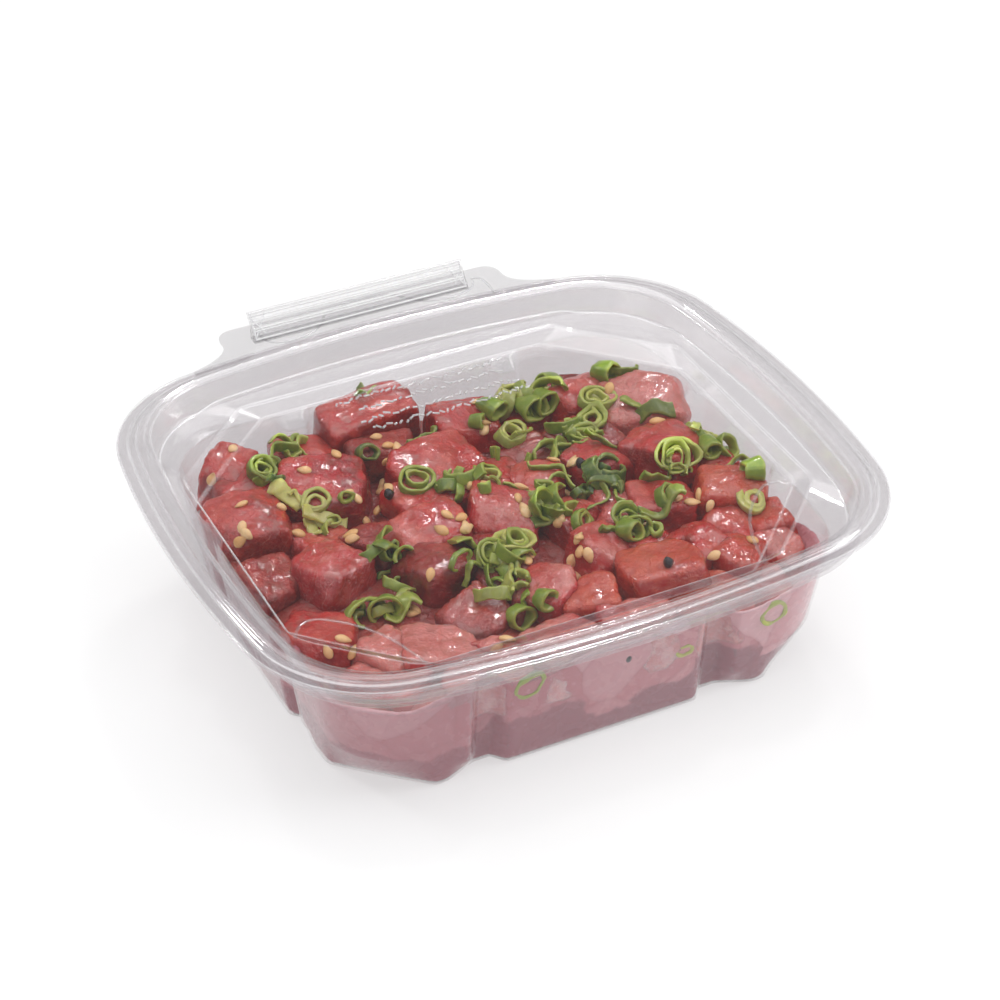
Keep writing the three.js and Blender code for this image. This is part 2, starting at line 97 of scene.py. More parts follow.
# %% [markdown]
# ## Meshes from points
#
# A formed sheet could be modelled by hand from a cube. Numbers are easier to keep true, so
# every sheet here starts as arrays of points. `mesh_piece` turns points and faces, in
# millimetres, into an object in metres, and `outward` makes all its faces look outwards.
# `carry` stores a number or a vector on every point, for a material or a node group to read.


# %% Point and mesh helpers
def shown(name, data):
    """A new object of the scene around a mesh, a lamp or a camera."""
    made = bpy.data.objects.new(name, data)
    bpy.context.scene.collection.objects.link(made)
    return made


def mesh_piece(name, points, faces, smooth=True):
    mesh = bpy.data.meshes.new(name)
    mesh.from_pydata([tuple(p) for p in np.asarray(points, float) * MM], [], faces)
    mesh.validate()
    mesh.polygons.foreach_set("use_smooth", [smooth] * len(mesh.polygons))
    return shown(name, mesh)


def carry(mesh, label, values):
    values = np.array(values, float)
    vector = values.ndim == 2
    layer = mesh.attributes.new(label, "FLOAT_VECTOR" if vector else "FLOAT", "POINT")
    layer.data.foreach_set("vector" if vector else "value", values.ravel())


def outward(mesh):
    body = bmesh.new()
    body.from_mesh(mesh)
    bmesh.ops.recalc_face_normals(body, faces=body.faces[:])
    body.to_mesh(mesh)
    body.free()


def triangles(piece):
    return sum(len(p.vertices) - 2 for p in piece.data.polygons)


# %% [markdown]
# ## Skins through rings
#
# Everything in this pack that is formed or folded has the same kind of section all the way
# round. So one ring of points is drawn per height, and `loft` joins the rings into one closed
# skin. It is the same idea as Bridge Edge Loops, with a fan of triangles over both ends.


# %% Lofting rings
def loft(rings):
    """Points and faces of a closed skin through rings, with a fan over both ends."""
    count = len(rings[0])
    rows = len(rings)
    points = np.concatenate([*rings, [rings[0].mean(0)], [rings[-1].mean(0)]])
    faces = []
    for row in range(rows - 1):
        for column in range(count):
            after = (column + 1) % count
            a, b = row * count, (row + 1) * count
            faces.append((a + column, a + after, b + after, b + column))
    for column in range(count):
        after = (column + 1) % count
        last = (rows - 1) * count
        faces.append((rows * count, after, column))
        faces.append((rows * count + 1, last + column, last + after))
    return points, faces


square = np.array([(0, 0, 0), (1, 0, 0), (1, 1, 0), (0, 1, 0)], float)
print("a loft through two squares has", len(loft([square, square + (0, 0, 1)])[1]), "faces")

# %% [markdown]
# ## Rounded bends
#
# A hot sheet never folds to a sharp edge. Its small radii are what catches the light in thin
# lines, and a clear sheet shows little else. A Bevel modifier would round these bends too, but
# unevenly where the outline is dense. `fillet_rows` instead puts a few rings along a small
# curve in place of every inner ring, so that each bend has the same radius all the way round.

# %% Rounding bends
BEND_STEPS = 5                       # rings along one bend
LONGEST_BEND = 0.42                  # share of the way to the next ring that a bend may take


def fillet_rows(keys, radius):
    """Rounds the bend at every inner ring: each becomes a few rings along a small curve."""
    out = [keys[0]]
    for before, here, after in zip(keys[:-2], keys[1:-1], keys[2:]):
        back = np.linalg.norm(before - here, axis=1, keepdims=True)
        ahead = np.linalg.norm(after - here, axis=1, keepdims=True)
        start = here + (before - here) * np.minimum(LONGEST_BEND, radius / np.maximum(back, 1e-6))
        end = here + (after - here) * np.minimum(LONGEST_BEND, radius / np.maximum(ahead, 1e-6))
        for t in np.linspace(0, 1, BEND_STEPS):
            out.append(start * (1 - t) ** 2 + here * 2 * t * (1 - t) + end * t**2)
    out.append(keys[-1])
    return out


print("three squares become", len(fillet_rows([square, square + 1, square + 2], 0.2)), "rings")

# %% [markdown]
# ## The upright flutes
#
# Two flutes stiffen every wall. They are shallow upright channels with rounded lips, and they
# cross the wall from the foot to the shoulder. Beside each flute a toe draws the foot in a
# little. A Boolean cut would leave sharp lips, so the outline itself is pushed inwards:
# `press` gives how far, at a place along the side. The places lie close together across the
# flute and far apart on the flat stretches.


# %% Flutes along a side
def side_stations(marks, toe_end, sparse, dense):
    """Places along half a side, from its middle to the corner."""
    before = marks[0] - 0.5
    after = marks[-1] + 0.6
    flat = np.linspace(0, before, sparse)[:-1]
    flute = np.linspace(before, after, dense)[:-1]
    return np.concatenate([flat, flute, np.linspace(after, toe_end, 5)])


def soft_ramp(value, start, end, soft=0.35):
    """A straight ramp from 0 to 1 whose two ends are slightly rounded."""
    shifts = np.linspace(-soft, soft, 7)
    return np.mean([np.clip((value + s - start) / (end - start), 0, 1) for s in shifts], 0)


def press(station, marks, depth, toe, toe_end):
    """How far the wall is pushed inwards: the flute, and the toe between it and the corner."""
    lip_in, floor_in, floor_out, lip_out = marks
    into = soft_ramp(station, lip_in, floor_in)
    out = soft_ramp(station, floor_out, lip_out)
    flute = depth * into * (1 - out)
    return flute + toe * out * (1 - soft_ramp(station, lip_out, toe_end))


SHORT_STATIONS = side_stations(FLUTE_END, TOE_END, sparse=9, dense=30)
LONG_STATIONS = side_stations(FLUTE_LONG, TOE_LONG, sparse=13, dense=34)
CORNER_STEPS = 22
print("places along half a short and half a long side:", len(SHORT_STATIONS), len(LONG_STATIONS))

# %% [markdown]
# ## The outline
#
# Seen from above, the tray is a rectangle whose sides bow outwards a little. Its corners are
# round at the rim and cut off straight at the foot. One quarter of this outline runs from the
# middle of a short side, round the corner, to the middle of a long side, and it is mirrored
# into the whole ring. Every ring has the same number of points, so any two can be joined.


# %% One closed outline
def stations(along, corner_start):
    """The places along a side, drawn in where the corner begins early, and two more up to it."""
    along = along * min(1.0, (corner_start - 1.5) / along[-1])
    return np.concatenate([along, along[-1] + (corner_start - along[-1]) * np.array([0.35, 0.7])])


def ring(x, y, corner, z, straight_cut=0.0, bow=(0.01, 0.01), flute=0.0, toe=0.0, drop=0.0):
    """One closed outline at height z, with half sizes x and y; `drop` sinks its corners."""
    bow_long, bow_short = max(bow[0], 0.01), max(bow[1], 0.01)
    centre_x, centre_y = x - corner - bow_short, y - corner - bow_long
    radius_long = (centre_x**2 + bow_long**2) / (2 * bow_long)
    radius_short = (centre_y**2 + bow_short**2) / (2 * bow_short)
    first = math.asin(centre_y / radius_short)
    final = math.pi / 2 - math.asin(centre_x / radius_long)

    start = np.array([centre_x + corner * math.cos(first), centre_y + corner * math.sin(first)])
    end = np.array([centre_x + corner * math.cos(final), centre_y + corner * math.sin(final)])
    side_y = stations(SHORT_STATIONS, start[1])
    side_x = stations(LONG_STATIONS, end[0])

    short_x = x - corner - radius_short + np.sqrt((radius_short + corner) ** 2 - side_y**2)
    long_y = y - corner - radius_long + np.sqrt((radius_long + corner) ** 2 - side_x**2)
    short_x = short_x - press(side_y, FLUTE_END, flute * FLUTE_DEPTH_END, toe * 0.6, TOE_END)
    long_y = long_y - press(side_x, FLUTE_LONG, flute * FLUTE_DEPTH, toe, TOE_LONG)

    t = np.linspace(0, 1, CORNER_STEPS + 1)[:, None]
    angle = first + (final - first) * t
    centre = np.array([centre_x, centre_y])
    arc = centre + corner * np.concatenate([np.cos(angle), np.sin(angle)], 1)
    chord = start + (end - start) * t
    bend = arc + (chord - arc) * straight_cut

    quarter = np.concatenate(
        [np.stack([short_x, side_y], 1), bend, np.stack([side_x, long_y], 1)[::-1]]
    )
    in_corner = np.zeros(len(quarter))
    inner = t[1:-1, 0]
    in_corner[len(side_y) + 1 : len(side_y) + CORNER_STEPS] = np.clip(
        np.minimum(inner, 1 - inner) / 0.12, 0, 1
    )
    height = z - drop * in_corner
    q = np.concatenate([quarter, height[:, None]], 1)
    mirrored = [(q * (-1, 1, 1))[:0:-1], (q * (-1, -1, 1))[:-1], (q * (1, -1, 1))[:0:-1]]
    return np.concatenate([q[:-1], *mirrored])


print("points in one ring:", len(ring(RIM_X, RIM_Y, RIM_CORNER, RIM_TOP)))

# %% [markdown]
# ## Creases
#
# Where the sheet is stretched round a tight bend it turns slightly milky. The material can only
# know this if the mesh says so. `mark_creases` therefore stores a number called "crease" on
# every point, from the angle between the rings before and after it.


# %% Crease marks
def mark_creases(piece, keys):
    """Stores on each point how sharply the sheet bends there: 1 in the middle of a tight bend."""
    values = [np.zeros(len(keys[0]))]
    for before, here, after in zip(keys[:-2], keys[1:-1], keys[2:]):
        back = here - before
        ahead = after - here
        lengths = np.linalg.norm(back, axis=1) * np.linalg.norm(ahead, axis=1)
        cosine = (back * ahead).sum(1) / np.maximum(lengths, 1e-9)
        angle = np.arccos(np.clip(cosine, -1, 1))
        sharp = np.clip((angle - 0.25) / 0.9, 0, 1)
        for t in np.linspace(0, 1, BEND_STEPS):
            values.append(sharp * (1 - abs(2 * t - 1)) ** 0.7)
    values.append(np.zeros(len(keys[0])))
    carry(piece.data, "crease", np.concatenate([*values, [0, 0]]))


def soften(rings):
    """Evens out each ring a little along its length, so that upright creases are not razor sharp."""
    return [(np.roll(r, 1, 0) + 2 * r + np.roll(r, -1, 0)) / 4 for r in rings]


print("a softened square is", round(float(np.ptp(soften([square])[0][:, 0])), 2), "wide")

# %% [markdown]
# ## The tray
#
# The tray is one sheet of clear plastic, drawn down into a mould. A Solidify modifier on an
# open surface would give it thickness, but it can't make the foot, the shoulder and the rim
# differ inside and outside. So the rings run through the whole section: from the middle of the
# inner floor up the wall, over the collar to the rim under the lid, and back down outside.


# %% Wall rings and rim rings
def tray_ring(z, inset=0.0, flute=1.0, toe=0.0, straight_cut=0.94):
    """A ring of the wall at height z, which leans outwards as it rises."""
    lean = DRAFT * z
    x, y = BASE_X + lean - inset, BASE_Y + lean - inset
    corner = BASE_CUT + (lean - inset) * 0.3
    return ring(x, y, corner, z, straight_cut, (0.01, BASE_BOW_SHORT), flute, toe)


def rim_ring(in_short, in_long, z, drop=0.0):
    """A ring of the collar or the rim, set in from the rim's edge on the two kinds of side."""
    corner = RIM_CORNER - (in_short + in_long) / 2
    bow = (RIM_BOW_LONG, RIM_BOW_SHORT)
    return ring(RIM_X - in_short, RIM_Y - in_long, corner, z, bow=bow, drop=drop)


TRAY_RIM_TOP = RIM_TOP - SHEET_LID - GAP
TRAY_RIM_LOW = TRAY_RIM_TOP - 0.5
COLLAR_LOW = RIM_TOP - 9.6

print("the tray's rim lies between", round(TRAY_RIM_LOW, 1), "and", round(TRAY_RIM_TOP, 1), "mm")

# %% [markdown]
# The foot has straight cuts across its corners (`straight_cut` near 1). By 12 mm up they have
# turned into round corners (near 0). The flutes fade out at the shoulder.

# %% The tray's sheet
HALF_ROUND_Z, ROUND_Z = 6.0, 12.0    # where the cut corners are half round, and round
HALF_CUT, ROUND_CUT = 0.45, 0.05
inner = SHEET_TRAY
inside = [
    tray_ring(inner, inset=inner + 4.0, toe=TOE_IN),
    tray_ring(inner, inset=inner + 1.4, toe=TOE_IN),
    tray_ring(inner + 0.6, inset=inner + 0.3, toe=TOE_IN * 0.9),
    tray_ring(HALF_ROUND_Z, inset=inner, straight_cut=HALF_CUT),
    tray_ring(ROUND_Z, inset=inner, straight_cut=ROUND_CUT),
    tray_ring(SHOULDER_Z - 3.0, inset=inner, straight_cut=0),
    tray_ring(SHOULDER_Z + 0.6, inset=inner - 0.2, flute=0.25, straight_cut=0),
    rim_ring(12.6, 10.8, SHOULDER_Z + 2.6),
    rim_ring(8.1, 6.1, COLLAR_LOW + 0.7),
    rim_ring(6.7, 5.0, TRAY_RIM_TOP - 0.4),
    rim_ring(5.4, 4.25, TRAY_RIM_TOP + 0.9),
    rim_ring(3.4, 3.3, TRAY_RIM_TOP),
    rim_ring(0, 0, TRAY_RIM_TOP),
]
outside = [
    rim_ring(0, 0, TRAY_RIM_LOW),
    rim_ring(6.0, 4.3, TRAY_RIM_LOW),
    rim_ring(7.2, 5.4, COLLAR_LOW + 0.2),
    rim_ring(12.8, 11.0, SHOULDER_Z + 1.9),
    tray_ring(SHOULDER_Z, flute=0.25, straight_cut=0),
    tray_ring(SHOULDER_Z - 3.4, straight_cut=0),
    tray_ring(ROUND_Z, straight_cut=ROUND_CUT),
    tray_ring(HALF_ROUND_Z, straight_cut=HALF_CUT),
    tray_ring(1.0, toe=TOE_IN),
    tray_ring(0, inset=1.0, toe=TOE_IN),
    tray_ring(0, inset=4.0, toe=TOE_IN),
]
tray_rings = inside + outside
tray = mesh_piece("clear_tray", *loft(soften(fillet_rows(tray_rings, 0.5))))
mark_creases(tray, tray_rings)
outward(tray.data)
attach(tray, "root")
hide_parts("tray")
print("tray:", triangles(tray), "triangles")

# %% [markdown]
# ## The lid
#
# From its edge inwards the lid has a flat flange, a rounded ridge, a steep step down to a
# ledge, and a sunken panel with cut corners. The lid is made like the tray, from rings through
# its section. The outer part follows the rim's outline and the inner part the panel's, and one
# steep face joins them.

# %% The lid's sheet
LID_SECTION = [
    (0.0, 0.0, 0.0),             # the edge: in on the short sides, in on the long sides, up
    (3.0, 3.0, 0.0),             # the end of the flat flange
    (4.1, 3.8, 0.9),
    (5.6, 4.7, 1.4),             # the ridge
    (8.2, 5.8, 1.3),
    (9.9, 7.0, 0.4),
    (11.6, 8.8, -LEDGE_DROP),    # the foot of the step
]
FLAT_ROWS = 3                    # these rows lie on the tray's rim


def panel_ring(inset, z, cut, drop=0.0):
    """A ring of the sunken panel, whose corners are cut off straight."""
    return ring(PANEL_X - inset, PANEL_Y - inset, cut, z, straight_cut=0.96, drop=drop)


def lid_side(down, push):
    """Rings of one face of the lid: `down` lowers them by the sheet, `push` sets them outwards."""
    rings = []
    for i, (in_short, in_long, z) in enumerate(LID_SECTION):
        shift = push if i >= FLAT_ROWS else -push
        if i == 0:
            shift = 0.0
        drop = POCKET_DROP if i == len(LID_SECTION) - 1 else 0.0
        rings.append(rim_ring(in_short - shift, in_long - shift, RIM_TOP + z - down, drop))
    ledge = RIM_TOP - LEDGE_DROP - down
    rings.append(panel_ring(push, ledge, PANEL_CUT, POCKET_DROP * 0.6))
    rings.append(panel_ring(1.5 + push * 0.6, PANEL_TOP - down, PANEL_CUT + 4.6))
    rings.append(panel_ring(5.0, PANEL_TOP - down, PANEL_CUT + 3.0))
    return rings


lid_rings = lid_side(SHEET_LID, 0.4)[::-1] + lid_side(0.0, 0.0)
lid = mesh_piece("clear_lid", *loft(soften(fillet_rows(lid_rings, 0.6))))
mark_creases(lid, lid_rings)
outward(lid.data)
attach(lid, "root")
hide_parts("lid")
print("lid:", triangles(lid), "triangles")

# %% [markdown]
# ## The hinge tab
#
# Beyond the far rim the lid runs on as a flat tab, wide enough for a thumb. Its outline is
# drawn on one side only and mirrored, and `plate` gives it the sheet's thickness. `bend` draws
# the rounded corners as quadratic curves, as a curve object with a few handles would.


# %% The tab's plate
def plate(outline_xy, low, high):
    """A flat plate with the given outline, its edge made of two rings and its faces of two caps."""
    flat = np.asarray(outline_xy, float)
    count = len(flat)
    lower = np.column_stack([flat, np.full(count, low)])
    upper = np.column_stack([flat, np.full(count, high)])
    sides = [(i, (i + 1) % count, count + (i + 1) % count, count + i) for i in range(count)]
    caps = [tuple(range(count))[::-1], tuple(range(count, 2 * count))]
    return np.concatenate([lower, upper]), sides + caps


def bend(start, control, end, steps=7):
    """Points of a quadratic bend, without its first point."""
    t = np.linspace(0, 1, steps)[1:, None]
    start, control, end = map(np.array, (start, control, end))
    return (start * (1 - t) ** 2 + control * 2 * t * (1 - t) + end * t**2).tolist()


edge_y = RIM_Y - 3.8                 # the tab starts on the rim's flange
tab_end = TAB_X + 12                 # and leaves it in a long curve
TAB_CORNER = 5.5
half_tab = [
    (0, edge_y + 1.1),
    (TAB_X * 0.45, edge_y + 1.1),
    (TAB_X, edge_y - 0.7),
    (tab_end, edge_y - 2.1),
    (tab_end, edge_y),
    *bend((tab_end, edge_y), (TAB_X + 0.6, RIM_Y - 0.4), (TAB_X, RIM_Y + 5)),
    (TAB_X, TAB_Y - TAB_CORNER),
    *bend((TAB_X, TAB_Y - TAB_CORNER), (TAB_X, TAB_Y), (TAB_X - TAB_CORNER, TAB_Y)),
    (0, TAB_Y),
]
tab_outline = half_tab + [(-x, y) for x, y in half_tab[-2:0:-1]]
tab_plate = plate(tab_outline, RIM_TOP - SHEET_LID + 0.01, RIM_TOP - 0.01)
tab = mesh_piece("hinge_tab", *tab_plate, smooth=False)
outward(tab.data)
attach(tab, "root")
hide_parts("lid")
print("tab:", triangles(tab), "triangles")

# %% [markdown]
# ## A small language for node trees
#
# Materials and geometry nodes are drawn with the mouse in Blender, and a script that adds them
# one by one is hard to read. Two small classes help. `Value` wraps a socket, so that node maths
# reads as ordinary arithmetic. `Tree` adds nodes: `node` takes the type, the values of the
# sockets, which output to use, and the node's own settings in one call.


# %% A socket in expressions
class Value:
    """A socket that can be used in expressions."""

    def __init__(self, tree, socket):
        self.tree = tree
        self.socket = socket

    def __add__(self, other):
        return self.tree.math("ADD", self, other)

    def __sub__(self, other):
        return self.tree.math("SUBTRACT", self, other)

    def __rsub__(self, other):
        return self.tree.math("SUBTRACT", other, self)

    def __mul__(self, other):
        return self.tree.math("MULTIPLY", self, other)

    def __pow__(self, other):
        return self.tree.math("POWER", self, other)

    __radd__ = __add__
    __rmul__ = __mul__

    def ramp(self, start, end):
        """0 up to `start`, 1 from `end` on, with a smooth climb between."""
        sockets = {"Value": self, "From Min": start, "From Max": end}
        return self.tree.node("ShaderNodeMapRange", sockets, interpolation_type="SMOOTHSTEP")


print("Value:", Value.__doc__)

# %% [markdown]
# Some nodes have several sockets of one name, for numbers, vectors and colours. `find` looks
# for the socket's identifier first, which is unique, and for its name only after that.


# %% A tree of nodes
class Tree:
    """A node tree under construction."""

    def __init__(self, tree):
        self.tree = tree

    def node(self, kind, sockets=None, out=0, **settings):
        made = self.tree.nodes.new(kind)
        for key, value in settings.items():
            setattr(made, key, value)
        for key, value in (sockets or {}).items():
            self.feed(self.find(made.inputs, key), value)
        return Value(self, self.find(made.outputs, out))

    @staticmethod
    def find(sockets, key):
        if isinstance(key, int):
            return sockets[key]
        for socket in sockets:
            if socket.identifier == key:
                return socket
        return sockets[key]

    def feed(self, socket, value):
        if isinstance(value, Value):
            self.tree.links.new(value.socket, socket)
        else:
            socket.default_value = value

    def math(self, operation, *values):
        return self.node("ShaderNodeMath", dict(enumerate(values)), operation=operation)

    def vector(self, operation, a, b=None, scale=None):
        sockets = {0: a}
        if b is not None:
            sockets[1] = b
        if scale is not None:
            sockets["Scale"] = scale
        return self.node("ShaderNodeVectorMath", sockets, operation=operation)

    def mark(self, label):
        """In a material: the number that the mesh carries under this name."""
        return self.node("ShaderNodeAttribute", {}, out="Fac", attribute_name=label)

    def read(self, label, kind="FLOAT"):
        """In a node group: the value that each point carries under this name."""
        named = {"Name": label}
        return self.node("GeometryNodeInputNamedAttribute", named, out="Attribute", data_type=kind)

    def stored(self, geometry, label, value, kind="FLOAT"):
        """In a node group: the geometry, with a value stored on each point."""
        sockets = {"Geometry": geometry, "Name": label, "Value": value}
        return self.node("GeometryNodeStoreNamedAttribute", sockets, data_type=kind, domain="POINT")

    def turned(self, vector, angles):
        sockets = {"Vector": vector, "Rotation": angles}
        return self.node("ShaderNodeVectorRotate", sockets, rotation_type="EULER_XYZ")

    def bump(self, height, strength, distance):
        sockets = {"Height": height, "Strength": strength, "Distance": distance}
        return self.node("ShaderNodeBump", sockets, out="Normal")

    def part(self, vector, axis):
        """One of the three numbers of a vector: X, Y or Z."""
        return self.node("ShaderNodeSeparateXYZ", {"Vector": vector}, out=axis)

    def noise(self, place, scale, detail=2.0, **more):
        """A cloudy number between 0 and 1."""
        sockets = {"Vector": place, "Scale": scale, "Detail": detail, **more}
        return self.node("ShaderNodeTexNoise", sockets, out="Fac")

    def mix_colour(self, factor, a, b):
        sockets = {"Factor_Float": factor, "A_Color": a, "B_Color": b}
        return self.node("ShaderNodeMix", sockets, out="Result_Color", data_type="RGBA")


print("Tree:", Tree.__doc__)

# %% [markdown]
# The last helpers start and end a tree. `group_tree` makes a geometry node group with named
# inputs. A modifier finds an input by its identifier, not by its name, so `run_group` looks
# that up. `evaluated` turns an object and its modifiers into a plain mesh, as Apply does.


# %% Starting and ending trees
def new_material(name):
    material = bpy.data.materials.new(name)
    material.use_nodes = True
    material.node_tree.nodes.clear()
    return material, Tree(material.node_tree)


def finish_material(tree, shader):
    end = tree.tree.nodes.new("ShaderNodeOutputMaterial")
    tree.tree.links.new(shader.socket, end.inputs["Surface"])


def principled(tree, sockets):
    """Ends a material with Blender's all-round surface."""
    finish_material(tree, tree.node("ShaderNodeBsdfPrincipled", sockets, out="BSDF"))


def group_tree(name, inputs):
    """A geometry node group with named inputs. Returns it, its tree and its inputs."""
    group = bpy.data.node_groups.new(name, "GeometryNodeTree")
    group.interface.new_socket("Geometry", in_out="OUTPUT", socket_type="NodeSocketGeometry")
    group.interface.new_socket("Geometry", in_out="INPUT", socket_type="NodeSocketGeometry")
    for label, kind in inputs.items():
        group.interface.new_socket(label, in_out="INPUT", socket_type=kind)
    tree = Tree(group)
    start = group.nodes.new("NodeGroupInput")
    values = {s.name: Value(tree, s) for s in start.outputs if s.name}
    return group, tree, values


def close_group(tree, geometry, material):
    """Ends a group: copies become a real mesh, and all of it takes one material."""
    real = tree.node("GeometryNodeRealizeInstances", {"Geometry": geometry})
    dressed = tree.node("GeometryNodeSetMaterial", {"Geometry": real, "Material": material})
    end = tree.tree.nodes.new("NodeGroupOutput")
    tree.tree.links.new(dressed.socket, end.inputs["Geometry"])


def run_group(piece, group, values):
    """Adds the group to the piece as a modifier, with its inputs set by their names."""
    shape = piece.modifiers.new(group.name, "NODES")
    shape.node_group = group
    for item in group.interface.items_tree:
        if item.name in values:
            shape[item.identifier] = values[item.name]


def evaluated(piece, name):
    """A plain mesh of the piece with its modifiers applied; the piece itself is removed."""
    graph = bpy.context.evaluated_depsgraph_get()
    mesh = bpy.data.meshes.new_from_object(piece.evaluated_get(graph))
    mesh.name = name
    old = piece.data
    bpy.data.objects.remove(piece)
    bpy.data.meshes.remove(old)
    return shown(name, mesh)


def thread(name, points, edges=()):
    """Points and edges only, given in millimetres, for a node group to build on."""
    mesh = bpy.data.meshes.new(name)
    mesh.from_pydata([tuple(c * MM for c in p) for p in points], list(edges), [])
    return shown(name, mesh)


print("pieces so far:", [piece.name for piece in (tray, lid, tab)])

# %% [markdown]
# ## Materials of the clear sheets
#
# Glass shaders bend light, and twelve clear walls in a row would then turn the food into noise.
# A thin sheet hardly bends light at all. So this material lets most of it straight through,
# mirrors a little, more so at a glancing angle, and adds a faint milky haze from the forming.
# The haze grows where the mesh carries a crease.


# %% Clear plastic
def clear_sheet(name, tint, haze, rough, glow=0.3):
    """`tint` colours what is seen through it, `haze` is its milk, `glow` the milk of its creases."""
    material, tree = new_material(name)
    where = tree.node("ShaderNodeTexCoord", out="Object")
    ripple = tree.noise(where, 60.0, 1.0)
    bump = tree.bump(ripple, 0.01, 0.6 * MM)
    facing = tree.node("ShaderNodeLayerWeight", {"Blend": 0.5, "Normal": bump}, out="Facing")
    shine = 0.045 + 0.9 * facing**4.5
    through = tree.node("ShaderNodeBsdfTransparent", {"Color": (*tint, 1)})
    milky = tree.node("ShaderNodeBsdfDiffuse", {"Color": (0.9, 0.9, 0.91, 1)})
    mirror = {"Color": (1, 1, 1, 1), "Roughness": rough, "Normal": bump}
    gloss = tree.node("ShaderNodeBsdfGlossy", mirror)
    body = tree.node("ShaderNodeMixShader", {0: haze + tree.mark("crease") * glow, 1: through, 2: milky})
    finish_material(tree, tree.node("ShaderNodeMixShader", {0: shine, 1: body, 2: gloss}))
    return material


CLEAR_TRAY = clear_sheet("clear_tray_sheet", (0.925, 0.914, 0.92), 0.06, 0.04, glow=0.1)
CLEAR_LID = clear_sheet("clear_lid_sheet", (0.918, 0.910, 0.914), 0.004, 0.09, glow=0.28)
CLEAR_STRIP = clear_sheet("clear_strip_sheet", (0.92, 0.915, 0.917), 0.06, 0.05)
# Its whiter milk paints highlights on the tear strip's folds.
FOLD_HIGHLIGHT = clear_sheet("fold_lines", (0.97, 0.97, 0.97), 0.5, 0.1)
RAISED = clear_sheet("raised_marks", (0.86, 0.86, 0.86), 0.28, 0.1)

tray.data.materials.append(CLEAR_TRAY)
for piece in (lid, tab):
    piece.data.materials.append(CLEAR_LID)
SHEETS = (CLEAR_TRAY, CLEAR_LID, CLEAR_STRIP, FOLD_HIGHLIGHT, RAISED)
print("sheets:", [material.name for material in SHEETS])

# %% [markdown]
# ## Raw tuna
#
# Raw tuna is wet and slightly see-through. Its colour drifts between a deep and a pale red, and
# fine fibres and thin pale seams run through it. A painted pattern would repeat on every
# dice, so the colour is built from noise. The noise follows the `grain` coordinates that each
# dice carries, and every dice shows the muscle from another side. Three numbers steer it:
# "tone" makes a dice paler, "flush" more orange, and "pressed" draws the pale film that flesh
# takes where it lies flat against the wall. Faces that look up are painted paler and greyer:
# a painted sheen, as wet tops mirror the bright surround.

# %% Tuna flesh
FLUSHED = (0.58, 0.10, 0.045, 1)
# The grey of the painted sheen on faces that look up.
TOP_SHEEN_GREY = (0.40, 0.17, 0.125, 1)
FILM_DEEP, FILM_PALE = (0.62, 0.27, 0.28, 1), (0.74, 0.46, 0.47, 1)
TONE_SHIFT = 0.68                    # how much of the tone goes before any flesh turns pale


def flesh_colour(tree, cloud, broad, fibre, seam, deep, middle, pale):
    """From deep to pale red, with pale lines, a painted sheen on the top and a film where it is pressed.
    """
    facing = tree.node("ShaderNodeNewGeometry", out="Normal")
    # Faces that look up are painted paler and greyer: a painted sheen of the bright surround.
    painted_top_sheen = tree.part(facing, "Z").ramp(0.35, 0.95)
    shade = broad.ramp(0.32, 0.68) * 0.6 + cloud.ramp(0.3, 0.7) * 0.35
    shade = shade + tree.mark("tone") - TONE_SHIFT + painted_top_sheen * 0.38
    colour = tree.mix_colour(shade.ramp(0.0, 0.5), (*deep, 1), (*middle, 1))
    colour = tree.mix_colour(shade.ramp(0.45, 1.05), colour, (*pale, 1))
    flushed = tree.mark("flush") * cloud.ramp(0.3, 0.7) * 0.8
    colour = tree.mix_colour(flushed, colour, FLUSHED)
    lines = seam * 0.4 + fibre.ramp(0.5, 0.72) * 0.22
    colour = tree.mix_colour(lines, colour, (*pale, 1))
    # Painted sheen: the tops turn greyer where the cloud is low.
    dull = painted_top_sheen * cloud.ramp(0.6, 0.35) * 0.4
    colour = tree.mix_colour(dull, colour, TOP_SHEEN_GREY)
    film = tree.mix_colour(cloud.ramp(0.35, 0.65), FILM_DEEP, FILM_PALE)
    return tree.mix_colour(tree.mark("pressed").ramp(0.2, 1.0) * 0.9, colour, film)


def tuna(name, deep, middle, pale):
    material, tree = new_material(name)
    grain = tree.node("ShaderNodeAttribute", {}, out="Vector", attribute_name="grain")
    broad = tree.noise(grain, 0.075)
    cloud = tree.noise(grain, 0.28, 5.0, Roughness=0.6)
    fibre = tree.noise(tree.vector("MULTIPLY", grain, (1.5, 1.5, 0.2)), 1.0, 3.0)
    seam = tree.math("SINE", tree.part(grain, "X") + broad * 10.0)
    seam = (1.0 - tree.math("ABSOLUTE", seam).ramp(0.02, 0.2)) * cloud.ramp(0.45, 0.65)
    colour = flesh_colour(tree, cloud, broad, fibre, seam, deep, middle, pale)

    fine = tree.noise(grain, 1.1)
    crisp = tree.noise(grain, 2.3, 1.0)
    wrinkled = cloud.ramp(0.42, 0.6) * 0.85 + 0.15
    height = fibre * 0.3 + (fine * 0.9 + crisp * 0.3) * wrinkled + seam * 0.25
    bump = tree.bump(height, 1.0, 0.42 * MM)
    surface = {
        "Base Color": colour,
        "Roughness": 0.07 + cloud * 0.1,
        "Normal": bump,
        "Subsurface Weight": 0.8,
        "Subsurface Radius": (1.0, 0.28, 0.2),
        "Subsurface Scale": 3.0 * MM,
        "Specular IOR Level": 0.85,
        "Coat Weight": 0.45,
        "Coat IOR": 1.45,
        "Coat Roughness": 0.05,
    }
    principled(tree, surface)
    return material


